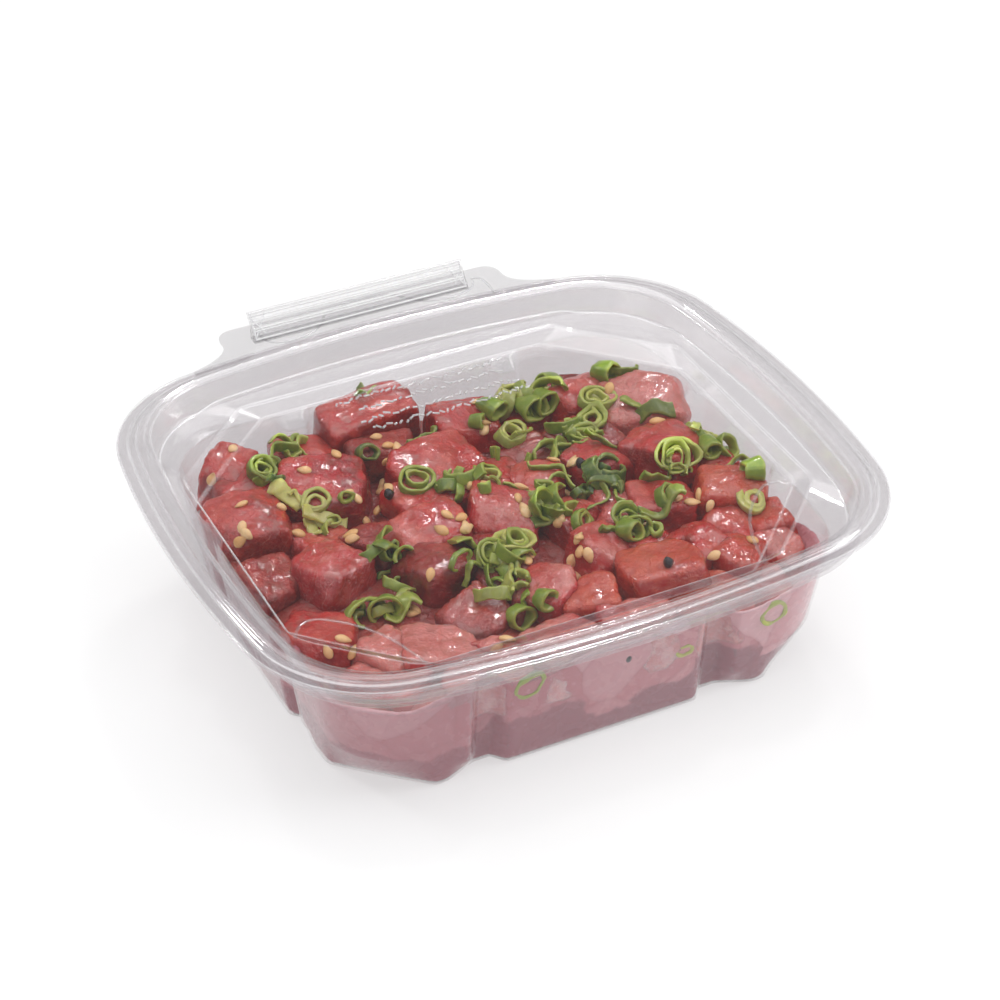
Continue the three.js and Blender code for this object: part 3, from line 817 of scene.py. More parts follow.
TUNA_REDS = {
    "red": ((0.31, 0.005, 0.006), (0.56, 0.020, 0.018), (0.66, 0.125, 0.090)),
    "pink": ((0.38, 0.009, 0.014), (0.58, 0.036, 0.038), (0.70, 0.24, 0.21)),
    "peach": ((0.42, 0.014, 0.009), (0.61, 0.054, 0.028), (0.68, 0.145, 0.085)),
    "deep": ((0.15, 0.004, 0.005), (0.31, 0.010, 0.011), (0.46, 0.065, 0.05)),
}
# Lower down, pressed together, the flesh looks paler and takes a touch of lilac.
PRESSED_REDS = {
    "red": ((0.42, 0.05, 0.065), (0.55, 0.12, 0.13), (0.64, 0.22, 0.23)),
    "pink": ((0.48, 0.10, 0.12), (0.60, 0.21, 0.23), (0.70, 0.34, 0.36)),
    "deep": ((0.30, 0.035, 0.055), (0.44, 0.11, 0.14), (0.54, 0.22, 0.26)),
}
TUNA = {"tuna_" + kind: tuna("raw_tuna_" + kind, *reds) for kind, reds in TUNA_REDS.items()}
PRESSED = {"tuna_" + kind: tuna("pressed_tuna_" + kind, *reds) for kind, reds in PRESSED_REDS.items()}
print("tuna:", [material.name for material in [*TUNA.values(), *PRESSED.values()]])

# %% [markdown]
# ## Flesh pressed against the wall
#
# Seen through the wall, the lower dices look like a map: pale patches with narrow gaps, and
# below a wavy line a darker band. Voronoi cells give the patches and the gaps between them, and
# the height above the foot gives the band. The band, the darker lines along the gaps, and the
# darker, redder flesh towards the -X end of the tray are painted shade.

# %% Pressed flesh
PATCH_SCALE = 58.0                   # cells in a metre: patches about 17 mm across
PATCH_DEEP, PATCH_PALE, PATCH_MILK = (0.59, 0.245, 0.275, 1), (0.75, 0.45, 0.48, 1), (0.76, 0.50, 0.51, 1)
# The last three colours are painted shade: near the foot, at the -X end and along the gaps.
PAINTED_FOOT_SHADE, PAINTED_SHADE_END, PAINTED_GAP_SHADE = (0.29, 0.12, 0.15, 1), (0.37, 0.085, 0.115, 1), (0.36, 0.10, 0.12, 1)


def pressed_skin_material():
    """Flesh squeezed flat against the wall: pale patches above, and a darker band of painted shade below.
    """
    material, tree = new_material("pressed_skin_flesh")
    where = tree.node("ShaderNodeTexCoord", out="Object")
    drift = tree.noise(where, 55.0, 3.0)
    cloud = tree.noise(where, 260.0, 4.0)
    bent = tree.vector("ADD", where, tree.vector("SCALE", (1.0, 1.0, 1.0), scale=drift * 0.006))
    cells = {"Vector": bent, "Scale": PATCH_SCALE}
    patch = tree.part(tree.node("ShaderNodeTexVoronoi", cells, out="Color"), "X")
    gap = tree.node("ShaderNodeTexVoronoi", cells, out="Distance", feature="DISTANCE_TO_EDGE")
    height = tree.part(where, "Z") * (1 / MM)
    side = tree.part(where, "X") * (1 / MM)
    level = height + (drift - 0.5) * 22.0 + (patch - 0.5) * 5.0
    colour = tree.mix_colour(patch.ramp(0.1, 0.9), PATCH_DEEP, PATCH_PALE)
    colour = tree.mix_colour(cloud.ramp(0.4, 0.7) * 0.25, colour, PATCH_MILK)
    # Painted shade: darker near the foot, towards the -X end and along the gaps.
    colour = tree.mix_colour(level.ramp(12.0, 10.4) * 0.8, colour, PAINTED_FOOT_SHADE)
    colour = tree.mix_colour(side.ramp(30.0, -50.0) * 0.5, colour, PAINTED_SHADE_END)
    colour = tree.mix_colour(gap.ramp(0.05, 0.0) * 0.2, colour, PAINTED_GAP_SHADE)
    surface = {
        "Base Color": colour,
        "Roughness": 0.22 + cloud * 0.1,
        "Subsurface Weight": 0.25,
        "Subsurface Radius": (1.0, 0.4, 0.35),
        "Subsurface Scale": 1.2 * MM,
    }
    principled(tree, surface)
    return material


PRESSED_SKIN = pressed_skin_material()
print("against the wall:", PRESSED_SKIN.name)

# %% [markdown]
# ## Scallion leaf
#
# A slice of scallion is darkest on its waxy outside and paler and juicier on its cut faces and
# its inside. The pale of the cut faces is also a painted highlight along their edges. One leaf
# runs from nearly white at the root to dark green at the tip. The strips that are swept later
# carry three numbers for this: "tint" is the place between root and tip, "up" is near 1 or -1
# on the cut faces, and "across" is negative on the inside.

# %% Leaf
LEAF_PALE, LEAF_GREEN, LEAF_DARK = (0.70, 0.66, 0.24, 1), (0.23, 0.33, 0.030, 1), (0.045, 0.11, 0.014, 1)
LEAF_CUT_PALE_AND_HIGHLIGHT, LEAF_WAX, LEAF_PATCH = (0.52, 0.53, 0.13, 1), (0.10, 0.19, 0.02, 1), (0.45, 0.49, 0.07, 1)


def leaf_material():
    material, tree = new_material("scallion_leaf")
    tint = tree.mark("tint")
    across = tree.mark("across")
    where = tree.node("ShaderNodeTexCoord", out="Object")
    patch = tree.noise(where, 420.0)
    vein = tree.noise(tree.vector("MULTIPLY", where, (1.0, 1.0, 0.25)), 2200.0)
    colour = tree.mix_colour(tint.ramp(0.0, 0.5), LEAF_PALE, LEAF_GREEN)
    colour = tree.mix_colour(tint.ramp(0.5, 1.0), colour, LEAF_DARK)
    # Cut faces: paler in their own right, and also a painted highlight of their edges.
    cut_face = tree.math("ABSOLUTE", tree.mark("up")).ramp(0.6, 0.95)
    cut = cut_face * 0.45 + across.ramp(0.1, -0.8) * 0.45
    colour = tree.mix_colour(cut * (1.0 - tint * 0.55), colour, LEAF_CUT_PALE_AND_HIGHLIGHT)
    colour = tree.mix_colour(across.ramp(0.55, 0.95) * 0.15, colour, LEAF_WAX)
    colour = tree.mix_colour(patch.ramp(0.45, 0.8) * 0.4, colour, LEAF_PATCH)
    bump = tree.bump(vein, 0.4, 0.12 * MM)
    surface = {
        "Base Color": colour,
        "Roughness": 0.3 + patch * 0.15,
        "Normal": bump,
        "Subsurface Weight": 0.6,
        "Subsurface Radius": (0.8, 1.0, 0.25),
        "Subsurface Scale": 1.0 * MM,
        "Coat Weight": 0.35,
        "Coat Roughness": 0.1,
    }
    principled(tree, surface)
    return material


LEAF = leaf_material()
print("leaf:", LEAF.name)

# %% [markdown]
# ## Seeds
#
# Toasted sesame runs from cream to light brown, and each seed is browner at its tip. "toast"
# is set for every seed, "along" runs from its blunt end to its tip. The black seeds are small
# glossy balls of one dark colour with faint flecks.

# %% Sesame and black seed
HULL_CREAM, HULL_BROWN = (0.95, 0.66, 0.33, 1), (0.78, 0.42, 0.13, 1)
HULL_TIP, HULL_SPECK = (0.45, 0.22, 0.07, 1), (0.85, 0.70, 0.45, 1)
BLACK, BLACK_FLECK = (0.012, 0.008, 0.012, 1), (0.022, 0.016, 0.022, 1)


def seed_material():
    material, tree = new_material("toasted_sesame")
    where = tree.node("ShaderNodeTexCoord", out="Object")
    speck = tree.noise(where, 1500.0)
    colour = tree.mix_colour(tree.mark("toast"), HULL_CREAM, HULL_BROWN)
    colour = tree.mix_colour(tree.mark("along").ramp(0.62, 1.0) * 0.6, colour, HULL_TIP)
    colour = tree.mix_colour(speck.ramp(0.55, 0.75) * 0.3, colour, HULL_SPECK)
    surface = {
        "Base Color": colour,
        "Roughness": 0.38 + speck * 0.1,
        "Subsurface Weight": 0.2,
        "Subsurface Radius": (1.0, 0.7, 0.4),
        "Subsurface Scale": 0.5 * MM,
        "Coat Weight": 0.3,
        "Coat Roughness": 0.12,
    }
    principled(tree, surface)
    return material


def black_seed_material():
    material, tree = new_material("black_seed")
    where = tree.node("ShaderNodeTexCoord", out="Object")
    fleck = tree.noise(where, 900.0)
    surface = {
        "Base Color": tree.mix_colour(fleck.ramp(0.4, 0.8), BLACK, BLACK_FLECK),
        "Roughness": 0.2,
        "Coat Weight": 0.6,
        "Coat Roughness": 0.06,
    }
    principled(tree, surface)
    return material


SESAME = seed_material()
BLACK_SEED = black_seed_material()
print("seeds:", SESAME.name, "and", BLACK_SEED.name)

# %% [markdown]
# ## The relief of a dice
#
# A knife leaves nearly flat faces, but the flesh relaxes: the faces bulge and wave, and shallow
# furrows follow the muscle. Sculpting 54 dices by hand would take days. This node group
# moves every point along its normal by noise instead. Each dice gives it a turn and a shift of
# its own, so no two are alike, and the group also stores the grain coordinates, the tone and
# the flush that the material reads.

# %% Relief nodes
relief_inputs = {"Lay": "NodeSocketVector", "Shift": "NodeSocketVector"}
for label in ("Swell", "Waves", "Lumps", "Fibres", "Tone", "Flush"):
    relief_inputs[label] = "NodeSocketFloat"
relief_inputs["Material"] = "NodeSocketMaterial"
relief, tree, given = group_tree("dice_relief", relief_inputs)
position = tree.node("GeometryNodeInputPosition")
normal = tree.node("GeometryNodeInputNormal")
turned = tree.turned(position, given["Lay"])
grain = tree.vector("ADD", tree.vector("SCALE", turned, scale=1 / MM), given["Shift"])
wave = tree.noise(grain, 0.085)
strand = tree.noise(tree.vector("MULTIPLY", grain, (0.9, 0.9, 0.12)), 1.0, 1.0)
lump = tree.noise(grain, 0.23)
bands = tree.math("SINE", (tree.part(grain, "X") + wave * 9.0) * 1.25) * 0.1
rise = (wave - 0.5) * given["Waves"] + (lump - 0.5) * given["Lumps"] + given["Swell"]
rise = rise + ((strand - 0.5) * 0.5 + bands) * given["Fibres"]
offset = tree.vector("SCALE", normal, scale=rise * MM)
moved = tree.node("GeometryNodeSetPosition", {"Geometry": given["Geometry"], "Offset": offset})
moved = tree.stored(moved, "grain", grain, "FLOAT_VECTOR")
moved = tree.stored(moved, "tone", given["Tone"])
moved = tree.stored(moved, "flush", given["Flush"])
moved = tree.node("GeometryNodeSetShadeSmooth", {"Geometry": moved})
close_group(tree, moved, given["Material"])
print("inputs of the relief:", list(relief_inputs))

# %% [markdown]
# ## From the CAD solid to a block
#
# Each upper dice starts as a copy of its CAD solid, so it sits exactly where the solid does.
# The copy has split corners, as every exported mesh has, and they are welded first.
# `shave_corners` then slices a few corners off at random, which is what turns a box into a
# dice cut by hand.


# %% Blocks from solids
def merged_copy(node):
    """A copy of a CAD node's mesh with its split corners welded, as an object of its own."""
    mesh = frame["nodes"][node].data.copy()
    body = bmesh.new()
    body.from_mesh(mesh)
    bmesh.ops.remove_doubles(body, verts=body.verts[:], dist=2e-6)
    bmesh.ops.recalc_face_normals(body, faces=body.faces[:])
    body.to_mesh(mesh)
    body.free()
    mesh.materials.clear()
    return shown(node + "_copy", mesh)


def shave_corners(piece, rng, cuts):
    """Slices a few corners off, as the knife leaves them."""
    body = bmesh.new()
    body.from_mesh(piece.data)
    corners = np.array([v.co for v in body.verts])
    middle = corners.mean(0)
    for _ in range(cuts):
        facing = corners[int(rng.integers(len(corners)))] - middle
        facing = facing / np.linalg.norm(facing) + rng.normal(0, 0.22, 3)
        facing /= np.linalg.norm(facing)
        level = ((corners - middle) @ facing).max() - rng.uniform(1.0, 3.0) * MM
        bmesh.ops.bisect_plane(
            body,
            geom=body.verts[:] + body.edges[:] + body.faces[:],
            plane_co=middle + facing * level,
            plane_no=facing,
            clear_outer=True,
        )
        bmesh.ops.holes_fill(body, edges=[e for e in body.edges if e.is_boundary])
    body.to_mesh(piece.data)
    body.free()
    return piece


UPPER = sorted(n for n in frame["nodes"] if n.startswith("tuna_") and n != "tuna_bed")
print("upper dices to cut:", len(UPPER))

# %% [markdown]
# ## Against the wall
#
# A bulging dice must not come out through the clear wall, or it looks painted on. Real flesh
# goes flat there instead. A Shrinkwrap modifier could do it, but it would move the free side
# too. So a liner is lofted just inside the wall, and `press_to_wall` sets every point that
# lies beyond it back onto it. It also stores how near each point is, for the pale film. The
# liner may reach a little into the sheet, so that no air gap shows.

# %% The liner
LINER_IN = 0.45                      # how far inside the outer face the liner runs
LINER_TOP = 60
FILM_REACH = 1.5                     # the film fades out over this distance from the liner
LID_GAP = 0.15                       # what stays free under the lid's panel
liner_rings = [
    tray_ring(0.4, inset=2.2, toe=TOE_IN),
    tray_ring(1.2, inset=LINER_IN, toe=TOE_IN * 0.9),
    tray_ring(HALF_ROUND_Z, inset=LINER_IN, straight_cut=HALF_CUT),
    tray_ring(ROUND_Z, inset=LINER_IN, straight_cut=ROUND_CUT),
    tray_ring(SHOULDER_Z - 3.0, inset=LINER_IN, straight_cut=0),
    tray_ring(SHOULDER_Z + 0.6, inset=LINER_IN, flute=0.25, straight_cut=0),
    tray_ring(LINER_TOP, inset=LINER_IN, flute=0.25, straight_cut=0),
]
liner = mesh_piece("liner", *loft(liner_rings))
outward(liner.data)
LINER = BVHTree.FromPolygons(
    [tuple(v.co) for v in liner.data.vertices], [tuple(p.vertices) for p in liner.data.polygons]
)
bpy.data.objects.remove(liner)


def press_to_wall(piece, back=0.0):
    """Flattens what would poke through the wall, and marks how near each point lies to it."""
    mesh = piece.data
    pressed = np.zeros(len(mesh.vertices))
    for i, vertex in enumerate(mesh.vertices):
        place, facing, _, _ = LINER.find_nearest(vertex.co)
        beyond = (vertex.co - place).dot(facing) + back * MM
        if beyond > 0:
            vertex.co = place - facing * back * MM
        vertex.co.z = min(vertex.co.z, (CEILING - LID_GAP) * MM)
        pressed[i] = min(1.0, max(0.0, 1 + beyond / (FILM_REACH * MM)))
    carry(mesh, "pressed", pressed)


print("the liner lies", LINER_IN, "mm inside the outer face of the wall")

# %% [markdown]
# ## Cutting a dice
#
# A Remesh modifier turns the block into an even skin of small squares, a Smooth modifier
# rounds its edges, and the relief comes last. The modifiers are evaluated into a plain mesh.
# The swell makes up for the flesh that rounding takes away.


# %% One dice
FINE_SQUARE = 0.75                   # the squares of an upper dice


def cut_dice(
    piece, name, material, seed, tone, flush,
    voxel=FINE_SQUARE, smooth=3, waves=1.6, lumps=1.1, fibres=0.9, swell=0.95,
):
    """The block remeshed, softened and put through the relief, as one plain mesh."""
    rng = np.random.default_rng(seed)
    fine = piece.modifiers.new("fine", "REMESH")
    fine.mode = "VOXEL"
    fine.voxel_size = voxel * MM
    soft = piece.modifiers.new("soft", "SMOOTH")
    soft.factor = 0.5
    soft.iterations = smooth
    values = {
        "Lay": tuple(rng.uniform(0, math.tau, 3)),
        "Shift": tuple(rng.uniform(-300, 300, 3)),
        "Swell": swell,
        "Waves": waves,
        "Lumps": lumps,
        "Fibres": fibres,
        "Tone": tone,
        "Flush": flush,
        "Material": material,
    }
    run_group(piece, relief, values)
    return evaluated(piece, name)


print("an upper dice is built from squares of", FINE_SQUARE, "mm")

# %% [markdown]
# ## The upper dices
#
# How pale a dice is and how far it leans to orange is listed for the ones that stand out,
# as (tone, flush). All others take small seeded values.

# %% All upper dices
TONES = {
    "back_left_big": (0.30, 0.25), "right_rise": (0.30, 0.0), "right_back_flat": (1.0, 0.1),
    "left_big": (0.25, 0.35), "left_round": (0.33, 0.15), "right_peach": (0.38, 0.6),
    "front_lilac": (0.55, 0.0), "front_orange": (0.42, 0.7), "front_right_smooth": (0.3, 0.7),
    "middle_ridge": (0.45, 0.1), "middle_flat": (0.5, 0.0), "middle_dark": (0.45, 0.0),
    "left_back": (0.28, 0.0), "middle": (0.4, 0.0), "right_wall": (0.6, 0.0),
    "front_left_orange": (0.95, 0.3), "front_left": (1.05, 0.0), "left_corner": (0.4, 0.2),
    "front_a": (0.75, 0.15), "front_b": (0.7, 0.1), "front_c": (0.8, 0.0), "front_d": (0.7, 0.05),
    "front_e": (0.7, 0.3), "front_f": (0.65, 0.1), "left_front": (0.5, 0.2),
}
SLOT_OF = {row["node"]: row["material_slot"] for row in frame["record"]["subparts"]}
VERY_PALE = 0.9                      # beyond this tone a dice takes the pink flesh
tone_rng = np.random.default_rng(7)
dices = []
for i, node in enumerate(UPPER):
    short = node.removeprefix("tuna_")
    tone, flush = TONES.get(short, (tone_rng.uniform(0.25, 0.55), tone_rng.uniform(0, 0.3)))
    block = shave_corners(merged_copy(node), np.random.default_rng(300 + i), 6)
    look = TUNA["tuna_pink" if tone > VERY_PALE else SLOT_OF[node]]
    made = cut_dice(block, f"dice_{short}", look, 100 + i, tone, flush)
    press_to_wall(made)
    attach(made, "root")
    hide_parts(node)
    dices.append(made)
print("upper dices:", len(dices), "with", sum(map(triangles, dices)), "triangles")

# %% [markdown]
# ## The lower dices
#
# The lower layer is one CAD solid. Here it is cut into real dices by an uneven grid of upright
# planes, so that the outer ones still lie flat against the walls. Each cell of the grid is a
# block, and a Boolean modifier keeps what it shares with the solid. The outer dices are seen
# through the wall, so they are built from smaller squares than the inner ones.


# %% A grid of dices
def grid_cell(corners, low, high):
    """An upright block over four corners."""
    points = [(x, y, low) for x, y in corners] + [(x, y, high) for x, y in corners]
    faces = [(3, 2, 1, 0), (4, 5, 6, 7), (0, 1, 5, 4), (1, 2, 6, 5), (2, 3, 7, 6), (3, 0, 4, 7)]
    return mesh_piece("cell", points, faces, smooth=False)


def cut_from_bed(bed, around):
    """The part of the lower layer inside one cell of the grid."""
    cell = grid_cell(around, -2, 24)
    cut = cell.modifiers.new("cut", "BOOLEAN")
    cut.operation = "INTERSECT"
    cut.solver = "EXACT"
    cut.object = bed
    return evaluated(cell, "cell")


def lower_dice(cell, family, voxel):
    calm = {"waves": 0.9, "lumps": 0.2, "fibres": 0.4, "swell": 0.45}
    seed = int(grid_rng.integers(1 << 30))
    tone, flush = grid_rng.uniform(0.55, 1.0), grid_rng.uniform(0, 0.15)
    return cut_dice(cell, "lower_dice", PRESSED[family], seed, tone, flush, voxel, **calm)


GRID_X, GRID_Y, GRID_JITTER = 84, 74, 4.2
COLUMNS, ROWS = 9, 8
FAMILIES = ["tuna_pink", "tuna_red", "tuna_pink", "tuna_pink", "tuna_pink", "tuna_deep"]
grid_rng = np.random.default_rng(23)
lines_x = np.linspace(-GRID_X, GRID_X, COLUMNS + 1)
lines_y = np.linspace(-GRID_Y, GRID_Y, ROWS + 1)
corners = np.array([[(x, y) for y in lines_y] for x in lines_x])
corners = corners + grid_rng.uniform(-GRID_JITTER, GRID_JITTER, corners.shape)
bed = merged_copy("tuna_bed")
lower = {name: [] for name in PRESSED}
for i in range(COLUMNS):
    for j in range(ROWS):
        around = [corners[i, j], corners[i + 1, j], corners[i + 1, j + 1], corners[i, j + 1]]
        cell = cut_from_bed(bed, around)
        if len(cell.data.polygons) < 5:
            bpy.data.objects.remove(cell)
            continue
        family = FAMILIES[int(grid_rng.integers(len(FAMILIES)))]
        outer = i in (0, COLUMNS - 1) or j in (0, ROWS - 1)
        lower[family].append(lower_dice(cell, family, voxel=1.4 if outer else 1.6))
bpy.data.objects.remove(bed)
print("lower dices cut:", {name: len(parts) for name, parts in lower.items()})

# %% [markdown]
# One object for every lower dice would make a long list that nobody looks at. `joined` puts
# all that share a colour into one piece, as Join does.


# %% Join and press
def joined(parts, name):
    """Joins plain mesh objects that share their place into one object."""
    bpy.ops.object.select_all(action="DESELECT")
    for part in parts:
        part.select_set(True)
    bpy.context.view_layer.objects.active = parts[0]
    bpy.ops.object.join()
    parts[0].name = parts[0].data.name = name
    return parts[0]


def stand_in_for_bed(piece):
    """Tells the frame that the piece shows in place of the lower layer's solid."""
    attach(piece, "root")
    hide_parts("tuna_bed")


lower_pieces = []
for family, parts in lower.items():
    if parts:
        piece = joined(parts, "lower_dices_" + family.removeprefix("tuna_"))
        press_to_wall(piece, back=0.3)
        stand_in_for_bed(piece)
        lower_pieces.append(piece)
print("lower dices:", {piece.name: triangles(piece) for piece in lower_pieces})

# %% [markdown]
# ## The skin at the wall and the dark heart
#
# Between the dices the real tray is full too: flesh is squeezed into every gap. Two closed
# bodies fill what the dices leave open. The skin touches the wall all round and stands higher
# at the near side, where the dices are heaped against it. The heart rises between the upper
# dices to an uneven level, so that deep gaps look red and not empty. It is darker than the
# dices, as painted shade of those deep gaps. They stay two objects, because light that scatters
# inside one object never crosses into the other.

# %% Skin and heart
SKIN_IN = 0.55                       # how far inside the wall's outer face the skin lies


def uneven(points):
    """A slow swell, from three sine waves."""
    x, y = points[:, 0], points[:, 1]
    return 1.4 * np.sin(x / 9) * np.cos(y / 8 + 1) + np.sin(x / 5 - y / 7)


def filling(name, rings, material, seed, waved):
    """A closed body through rings. Smaller rings cap it, and the top ones are uneven."""
    rim = rings[-1]
    rings = rings + [rim * (share, share, 1) for share in (0.9, 0.75, 0.6, 0.45, 0.3, 0.15)]
    for points in rings[-waved:]:
        points[:, 2] += uneven(points)
    body = mesh_piece(name, *loft(rings))
    outward(body.data)
    calm = {"waves": 0.1, "lumps": 0.1, "fibres": 0.3, "swell": 0}
    return cut_dice(body, name, material, seed, 0.6, 0.0, voxel=1.0, smooth=2, **calm)


def leaning(low, high):
    """A ring that follows `low` at the back and rises to `high` towards the near wall."""
    share = np.clip((-low[:, 1:2] - 5) / 35, 0, 1)
    return low + (high - low) * share


skin_rings = [
    tray_ring(0.5, inset=1.4, toe=TOE_IN),
    tray_ring(1.4, inset=SKIN_IN, toe=TOE_IN * 0.9),
    tray_ring(HALF_ROUND_Z, inset=SKIN_IN, straight_cut=HALF_CUT),
    tray_ring(ROUND_Z, inset=SKIN_IN, straight_cut=ROUND_CUT),
    tray_ring(20.0, inset=SKIN_IN, straight_cut=0),
    leaning(tray_ring(21.5, SKIN_IN, straight_cut=0), tray_ring(29.0, SKIN_IN, straight_cut=0)),
    leaning(tray_ring(22.5, 2.2, straight_cut=0), tray_ring(29.8, 1.6, straight_cut=0)),
    tray_ring(20.5, inset=5.5, straight_cut=0),
]
heart_rings = [
    tray_ring(3.0, inset=4.0, straight_cut=0.9),
    tray_ring(ROUND_Z, inset=3.0, straight_cut=ROUND_CUT),
    tray_ring(22.5, inset=1.8, straight_cut=0),
    tray_ring(24.5, inset=3.0, straight_cut=0),
]
skin = filling("pressed_skin", skin_rings, PRESSED_SKIN, 77, waved=9)
press_to_wall(skin, back=0.1)
stand_in_for_bed(skin)
# The heart's deep red is painted shade: it stands for the shade deep in the gaps.
heart = filling("dark_heart", heart_rings, TUNA["tuna_deep"], 78, waved=8)
stand_in_for_bed(heart)
lower_pieces += [skin, heart]
print("skin:", triangles(skin), "and heart:", triangles(heart), "triangles")

# %% [markdown]
# ## Where things rest
#
# Toppings lie on the dices in their real places. A physics run would let them slide to others.
# So all food is gathered in one search tree, and `ground` drops eight rays round a place. The
# plane through their hits gives the height and the slope there.

# %% Ground under a place
all_points, all_faces, offset = [], [], 0
for piece in dices + lower_pieces:
    mesh = piece.data
    co = np.empty(len(mesh.vertices) * 3)
    mesh.vertices.foreach_get("co", co)
    all_points.append(co.reshape(-1, 3) / MM)
    all_faces += [tuple(v + offset for v in p.vertices) for p in mesh.polygons]
    offset += len(mesh.vertices)
FOOD = BVHTree.FromPolygons(np.concatenate(all_points).tolist(), all_faces)

UP = Vector((0, 0, 1))
DROP_FROM = 60
RAYS = 8
DEEPEST = 4.0                        # a hit this far below the others fell into a gap
STEEPEST = 0.8


def ground(x, y, reach=2.0):
    """Height and upward normal of the food around a place: the plane through a ring of drops."""
    hits = []
    for angle in np.arange(0, math.tau, math.tau / RAYS):
        px, py = x + reach * math.cos(angle), y + reach * math.sin(angle)
        hit = FOOD.ray_cast(Vector((px, py, DROP_FROM)), -UP)[0]
        if hit is not None:
            hits.append((px, py, hit.z))
    if len(hits) < 4:
        return LAYER_TOP, UP
    hits = np.array(hits)
    top = np.percentile(hits[:, 2], 75)
    keep = hits[hits[:, 2] > top - DEEPEST]
    middle = keep.mean(0)
    slope = np.linalg.lstsq(keep[:, :2] - middle[:2], keep[:, 2] - middle[2], rcond=1e-3)[0]
    slope = np.clip(slope, -STEEPEST, STEEPEST)
    height = middle[2] + slope @ (np.array([x, y]) - middle[:2])
    return float(height), Vector((-slope[0], -slope[1], 1)).normalized()


print("height of the food at the middle:", round(ground(0, 0)[0], 1), "mm")

# %% [markdown]
# ## Sliced scallion
#
# A scallion is cut across into rings, and many of them tear open into arcs and wavy strings.
# Every slice is a strip of leaf that follows a flat path, and there are three kinds of path: a
# closed ring, an arc and a wave. Each path wobbles a little, from a seeded draw of its own.


# %% Three paths
def ring_path(size, rng, oval=1.0):
    t = np.linspace(0, math.tau, 30)[:-1]
    wobble = 1 + 0.06 * np.sin(2 * t + rng.uniform(0, 6)) + 0.03 * np.sin(3 * t + rng.uniform(0, 6))
    return np.stack([size / 2 * wobble * np.cos(t), size / 2 * oval * wobble * np.sin(t)], 1), True


def arc_path(size, rng, oval=1.0):
    t = np.linspace(0, rng.uniform(2.4, 4.0), 24)
    radius = size / 2 * (1 + 0.08 * np.sin(2 * t + rng.uniform(0, 6)))
    path = np.stack([radius * np.cos(t), radius * oval * np.sin(t)], 1)
    return path - path.mean(0), False


def wave_path(size, rng, oval=0.25):
    t = np.linspace(-0.5, 0.5, 26)
    phase = rng.uniform(0, 6)
    y = oval * size * np.sin(t * math.pi * 1.5 + phase) * 0.5
    y = y + 0.06 * size * np.sin(t * 9 + phase * 2)
    return np.stack([size * t, y - y.mean()], 1), False


PATHS = {"ring": ring_path, "arc": arc_path, "wave": wave_path}
for kind, draw in PATHS.items():
    print(kind, "path:", len(draw(8.0, np.random.default_rng(0))[0]), "points")

# %% [markdown]
# ## Sweeping the leaf
#
# A curve with a round bevel would give a hose, and a slice of leaf is a thin upright band. This
# node group sweeps a circle along every path at once and then moves each point itself. It
# knows where the point lies on the circle ("across" and "up"), and from the path how high,
# thick and flared the slice is. So it builds the band, turns it, puts it in its place, and
# crumples it a little, as wet leaves are.

# %% Sweep nodes
THIN = 0.0001                        # the circle is swept tiny, then every point is set anew
CRUMPLE = 2.0
sweep, tree, given = group_tree("leaf_strips", {"Material": "NodeSocketMaterial"})
curves = tree.node("GeometryNodeMeshToCurve", {"Mesh": given["Geometry"]})
curves = tree.node("GeometryNodeSetCurveNormal", {"Curve": curves}, mode="Z_UP")
curves = tree.stored(curves, "spine", tree.node("GeometryNodeInputPosition"), "FLOAT_VECTOR")
curves = tree.stored(curves, "side", tree.node("GeometryNodeInputNormal"), "FLOAT_VECTOR")

circle_of = {"Resolution": 12, "Radius": 1.0}
circle = tree.node("GeometryNodeCurvePrimitiveCircle", circle_of, mode="RADIUS")
at = tree.node("GeometryNodeInputPosition")
round_x = tree.part(at, "X")
round_y = tree.part(at, "Y")
squarer_x = tree.math("SIGN", round_x) * tree.math("ABSOLUTE", round_x) ** 0.5
squarer_y = tree.math("SIGN", round_y) * tree.math("ABSOLUTE", round_y) ** 0.4
circle = tree.stored(circle, "across", squarer_x)
circle = tree.stored(circle, "up", squarer_y)
circle = tree.node("GeometryNodeTransform", {"Geometry": circle, "Scale": (THIN, THIN, THIN)})

strip = tree.node(
    "GeometryNodeCurveToMesh", {"Curve": curves, "Profile Curve": circle, "Fill Caps": True}
)
lean = tree.noise(tree.vector("SCALE", tree.read("spine", "FLOAT_VECTOR"), scale=220.0), 1.0)
upright = tree.read("up") * tree.read("high") * 0.5 * (0.9 + lean * 0.25)
sideways = tree.read("across") * tree.read("thick") * 0.5 + tree.read("up") * tree.read("flare") * 0.5
edge = tree.vector("SCALE", tree.read("side", "FLOAT_VECTOR"), scale=sideways)
rise = tree.node("ShaderNodeCombineXYZ", {"Z": upright})
local = tree.vector("ADD", tree.vector("ADD", tree.read("spine", "FLOAT_VECTOR"), edge), rise)
turned = tree.turned(local, tree.read("lay", "FLOAT_VECTOR"))
placed = tree.vector("ADD", turned, tree.read("place", "FLOAT_VECTOR"))
waves = {"Vector": tree.vector("SCALE", placed, scale=260.0), "Scale": 1.0}
crumple = tree.node("ShaderNodeTexNoise", waves, out="Color")
crumple = tree.vector("SUBTRACT", crumple, (0.5, 0.5, 0.5))
crumple = tree.vector("SCALE", crumple, scale=CRUMPLE * MM)
crumpled = tree.vector("ADD", placed, crumple)
strip = tree.node("GeometryNodeSetPosition", {"Geometry": strip, "Position": crumpled})
strip = tree.node("GeometryNodeSetShadeSmooth", {"Geometry": strip})
close_group(tree, strip, given["Material"])
print("nodes that sweep the leaf:", len(sweep.nodes))

